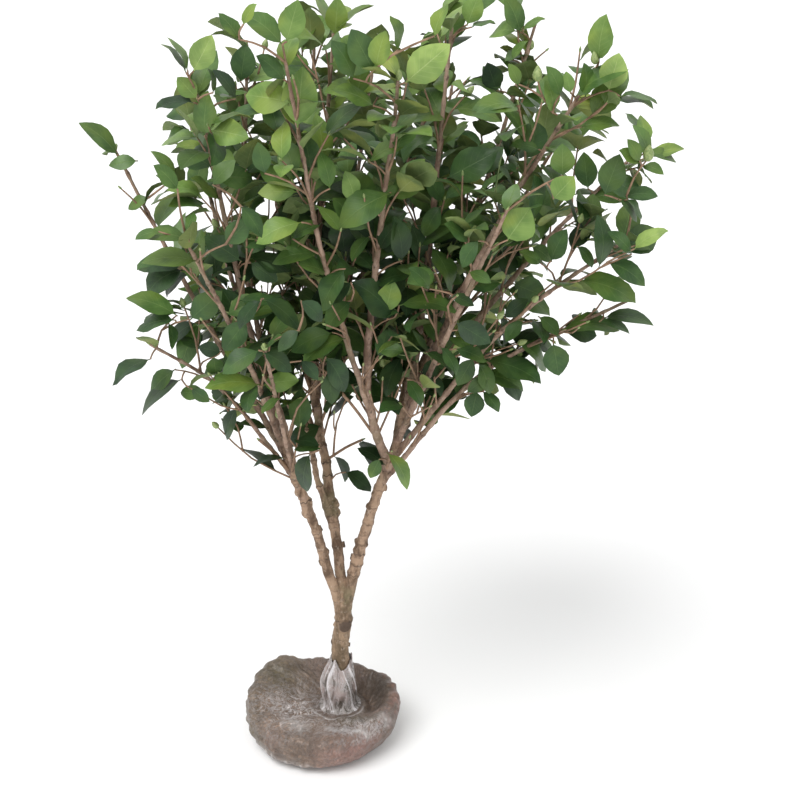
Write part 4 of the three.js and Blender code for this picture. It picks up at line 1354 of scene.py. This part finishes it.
def film_marks(place):
    """How pale the film is with creases and painted highlights, how dark with painted shade in the hollow,
    how reddish and olive the film and its soil are, and how strong the film's painted sheen is, at a place
    on the ball.
    """
    x, y, z = place
    east = math.hypot(x - TRUNK_X, y)
    facing = math.atan2(y, x - TRUNK_X)
    wander = 0.004 * noise.noise(Vector((x, y, z)) * 40)
    front = float(smoothstep(-math.sin(facing), 0.0, 0.7))
    upper = float(smoothstep(z, 0.044, 0.056))
    swing = 0.043 + 0.006 * math.cos(facing + 2.4) + wander
    rim = math.exp(-(((east - swing) / 0.0014) ** 2)) * front * upper
    drop = y + 0.083 + wander * 2 + 0.16 * (x - 0.03)
    streak = math.exp(-((drop / 0.0055) ** 2)) * float(smoothstep(x, 0.0, 0.02)) * upper
    patch = blot(x, y, -0.034, -0.071 + wander, 0.015, 0.012) * upper
    patch = max(patch, blot(x, y, 0.108, -0.052 + wander, 0.014, 0.01) * 0.8 * upper)
    fleck = float(smoothstep(noise.noise(Vector((x, y, z)) * 170), 0.05, 0.35))
    turned_to = math.cos(math.atan2(y, x) + 2.2)
    fold = math.exp(-(((z - 0.016) / 0.005) ** 2)) * float(smoothstep(turned_to, 0.8, 0.97))
    # The crease arc round the collar and the folded lip are pale creased film; the streak and the patches
    # are painted highlights.
    pale = rim * 0.85 + streak * (0.5 + 0.5 * fleck) + patch * (0.45 + 0.55 * fleck)
    pale += fold * (0.2 + 0.5 * fleck)
    pale = min(1.0, pale)
    # Painted shade in the hollow at the right-hand back.
    hollow_shade = blot(x, y, 0.096, 0.028, 0.03, 0.05) * upper
    ragged = noise.noise(Vector((x, y, z)) * 55)
    edge = float(smoothstep(math.hypot(x, y), 0.108, 0.122)) * float(smoothstep(x, 0.03, 0.09))
    red = float(smoothstep(-y, 0.062, 0.1)) * float(smoothstep(x, -0.03, 0.04)) * (1 - upper * 0.8)
    red = min(1.0, red + edge * float(smoothstep(ragged, -0.25, 0.2)) * upper)
    olive = max(blot(x, y, -0.08, 0.055, 0.05, 0.05), blot(x, y, 0.06, -0.056, 0.035, 0.014) * upper)
    olive = max(olive, 0.8 * float(smoothstep(-x, 0.075, 0.11)) * (1 - upper * 0.5))
    # Where the painted sheen on the film's fine wrinkles shows most.
    web = max(blot(x, y, -0.038, -0.026, 0.046, 0.05), blot(x, y, 0.062, -0.078, 0.06, 0.024)) * upper
    web = max(web, 0.5 * blot(x, y, -0.085, -0.02, 0.03, 0.04))
    return pale, hollow_shade, red, olive, web


def mark(piece, marks):
    """Stores what a function says of each corner's place as attributes that the materials read."""
    mesh = piece.data
    places = np.empty(len(mesh.vertices) * 3)
    mesh.vertices.foreach_get("co", places)
    values = np.array([marks(place) for place in places.reshape(-1, 3)], dtype=np.float32)
    for name, column in zip(BALL_MARKS, values.T):
        mesh.attributes.new(name, "FLOAT", "POINT").data.foreach_set("value", np.ascontiguousarray(column))


def smooth_profile(points, count):
    """Points along a smooth curve through (radius, height) corners."""
    path = Path([(r, 0, z) for r, z in points])
    return [tuple(path.at(i / count)[[0, 2]]) for i in range(count + 1)]


def make_ball():
    under = [(lerp(0, BALL_FOOT, i / 6), 0) for i in range(6)]
    side = smooth_profile(
        [(BALL_FOOT, 0), (BALL_RIM * 0.93, BALL_HEIGHT * 0.22), (BALL_RIM, BALL_HEIGHT * 0.55),
         (BALL_RIM * 0.995, BALL_HEIGHT * 0.8), (BALL_RIM * 0.955, BALL_HEIGHT * 0.95),
         (BALL_RIM * 0.87, BALL_HEIGHT), (lerp(SEAT, BALL_RIM, 0.45), lerp(SEAT_HEIGHT, BALL_HEIGHT, 0.5)),
         (SEAT, SEAT_HEIGHT)], 54)
    seat = [(lerp(SEAT, 0, i / 4), SEAT_HEIGHT) for i in range(1, 5)]
    piece = spun("ball", under + side + seat, 150)
    move_corners(piece, ball_corner)
    piece.data.materials.append(FILM_OVER_SOIL)
    divide = piece.modifiers.new("finer", "SUBSURF")
    divide.levels = divide.render_levels = 1
    texture = bpy.data.textures.new("film_wrinkles", "CLOUDS")
    texture.noise_scale, texture.noise_depth = 0.008, 3
    wrinkle = piece.modifiers.new("wrinkles", "DISPLACE")
    wrinkle.texture, wrinkle.strength, wrinkle.texture_coords = texture, 0.0022, "LOCAL"
    apply_modifiers(piece)
    move_corners(piece, lambda place: (place[0], place[1], max(place[2], 0.0)))
    mark(piece, film_marks)
    make_active(piece)
    bpy.ops.object.shade_smooth()
    claim(piece, ["root_ball"])


def collar_pleat(angle, high):
    """How far the gathered film stands out from its mean there, from about -1 to 1."""
    turn = angle + 0.5 * high + 0.25 * math.sin(3 * angle + 4 * high)
    deep = 0.5 * math.cos(7 * turn) + 0.3 * math.cos(16 * turn + 1.3) + 0.2 * math.cos(29 * turn + 0.4)
    return deep + 0.5 * noise.noise(Vector((math.cos(angle) * 4, math.sin(angle) * 4, high * 5)))


def collar_corner(place):
    """The gathered film's pleats and its ragged upper end."""
    x, y, z = place
    angle, high = math.atan2(y, x), z / COLLAR_HEIGHT
    notch = math.exp(-(((angle + 1.45) / 0.42) ** 2)) * float(smoothstep(high, 0.5, 1))
    ragged = 0.003 * math.sin(3 * angle + 0.6) + 0.003 * math.sin(8 * angle)
    ragged *= float(smoothstep(high, 0.6, 1))
    ragged -= 0.020 * notch
    wider = 1 + 0.13 * collar_pleat(angle, high) * (1.1 - 0.5 * high) * float(smoothstep(high, -0.02, 0.1))
    aside = 0.004 * high - 0.003 * math.sin(math.pi * min(1.0, max(0.0, high)))
    return TRUNK_X + x * wider + aside, y * wider, SEAT_HEIGHT + 0.0006 + z + ragged


# How far a pleat's crest stands out, stored as the pale mark; the film's paint whitens it as painted
# highlight.
def collar_marks(place):
    x, y, z = place
    high = (z - SEAT_HEIGHT) / COLLAR_HEIGHT
    crest = float(smoothstep(collar_pleat(math.atan2(y, x - TRUNK_X), high), 0.15, 0.8))
    return (crest,)


def make_collar():
    height = COLLAR_HEIGHT
    outside = smooth_profile(
        [(0.0370, -0.0015), (0.0290, height * 0.03), (0.0265, height * 0.1), (0.0276, height * 0.26),
         (0.0288, height * 0.42), (0.0262, height * 0.66), (0.0196, height * 0.88), (0.0178, height)], 34)
    inside = [(r - 0.0012, z) for r, z in reversed(outside)]
    piece = spun("collar", outside + inside + [outside[0]], 160)
    move_corners(piece, collar_corner)
    mark(piece, collar_marks)
    piece.data.materials.append(GATHERED_FILM)
    make_active(piece)
    bpy.ops.object.shade_smooth()
    claim(piece, ["film_collar"])


# ---------------------------------------------------------------- floor, light and camera

def make_studio():
    deselect()
    bpy.ops.mesh.primitive_plane_add(size=60, location=(0, 0, -0.0008))
    floor = bpy.context.object
    floor.name = "floor"
    paint = Paint("floor_white")
    floor.data.materials.append(paint.finish(Base_Color=(0.93, 0.93, 0.93), Roughness=0.9))

    world = bpy.data.worlds.new("studio")
    bpy.context.scene.world = world
    world.use_nodes = True
    world.node_tree.nodes["Background"].inputs[0].default_value = (1, 1, 1, 1)
    world.node_tree.nodes["Background"].inputs[1].default_value = 0.8

    for name, way, strength, spread in (
        ("key", (0.42, 0.5, -1.0), 2.0, 40), ("fill", (-0.3, 1.0, -0.5), 0.4, 60),
    ):
        light = bpy.data.lights.new(name, "SUN")
        light.energy, light.angle = strength, math.radians(spread)
        lamp = bpy.data.objects.new(name, light)
        lamp.rotation_mode = "QUATERNION"
        lamp.rotation_quaternion = Vector(way).to_track_quat("-Z", "Y")
        bpy.context.collection.objects.link(lamp)

    camera = bpy.data.objects.new("camera", bpy.data.cameras.new("camera"))
    camera.location = (0.130, -2.0, 1.4)
    camera.rotation_euler = (math.radians(90 - 21.9), 0, 0)
    camera.data.lens, camera.data.sensor_width = 64.35, 36
    bpy.context.collection.objects.link(camera)
    bpy.context.scene.camera = camera
    bpy.context.scene.view_settings.view_transform = "Standard"


make_studio()
make_stems()
make_boughs()
make_ball()
make_collar()

crown = Crown()
crown.place_leaves(random.Random(77))
for seed, limb in enumerate(leafy):
    crown.grow(limb, 100 + seed)
mass_nodes = [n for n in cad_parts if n.startswith("foliage")]
make_leaves(crown, mass_nodes)
make_twigs(crown, mass_nodes)
make_buds(crown, mass_nodes)
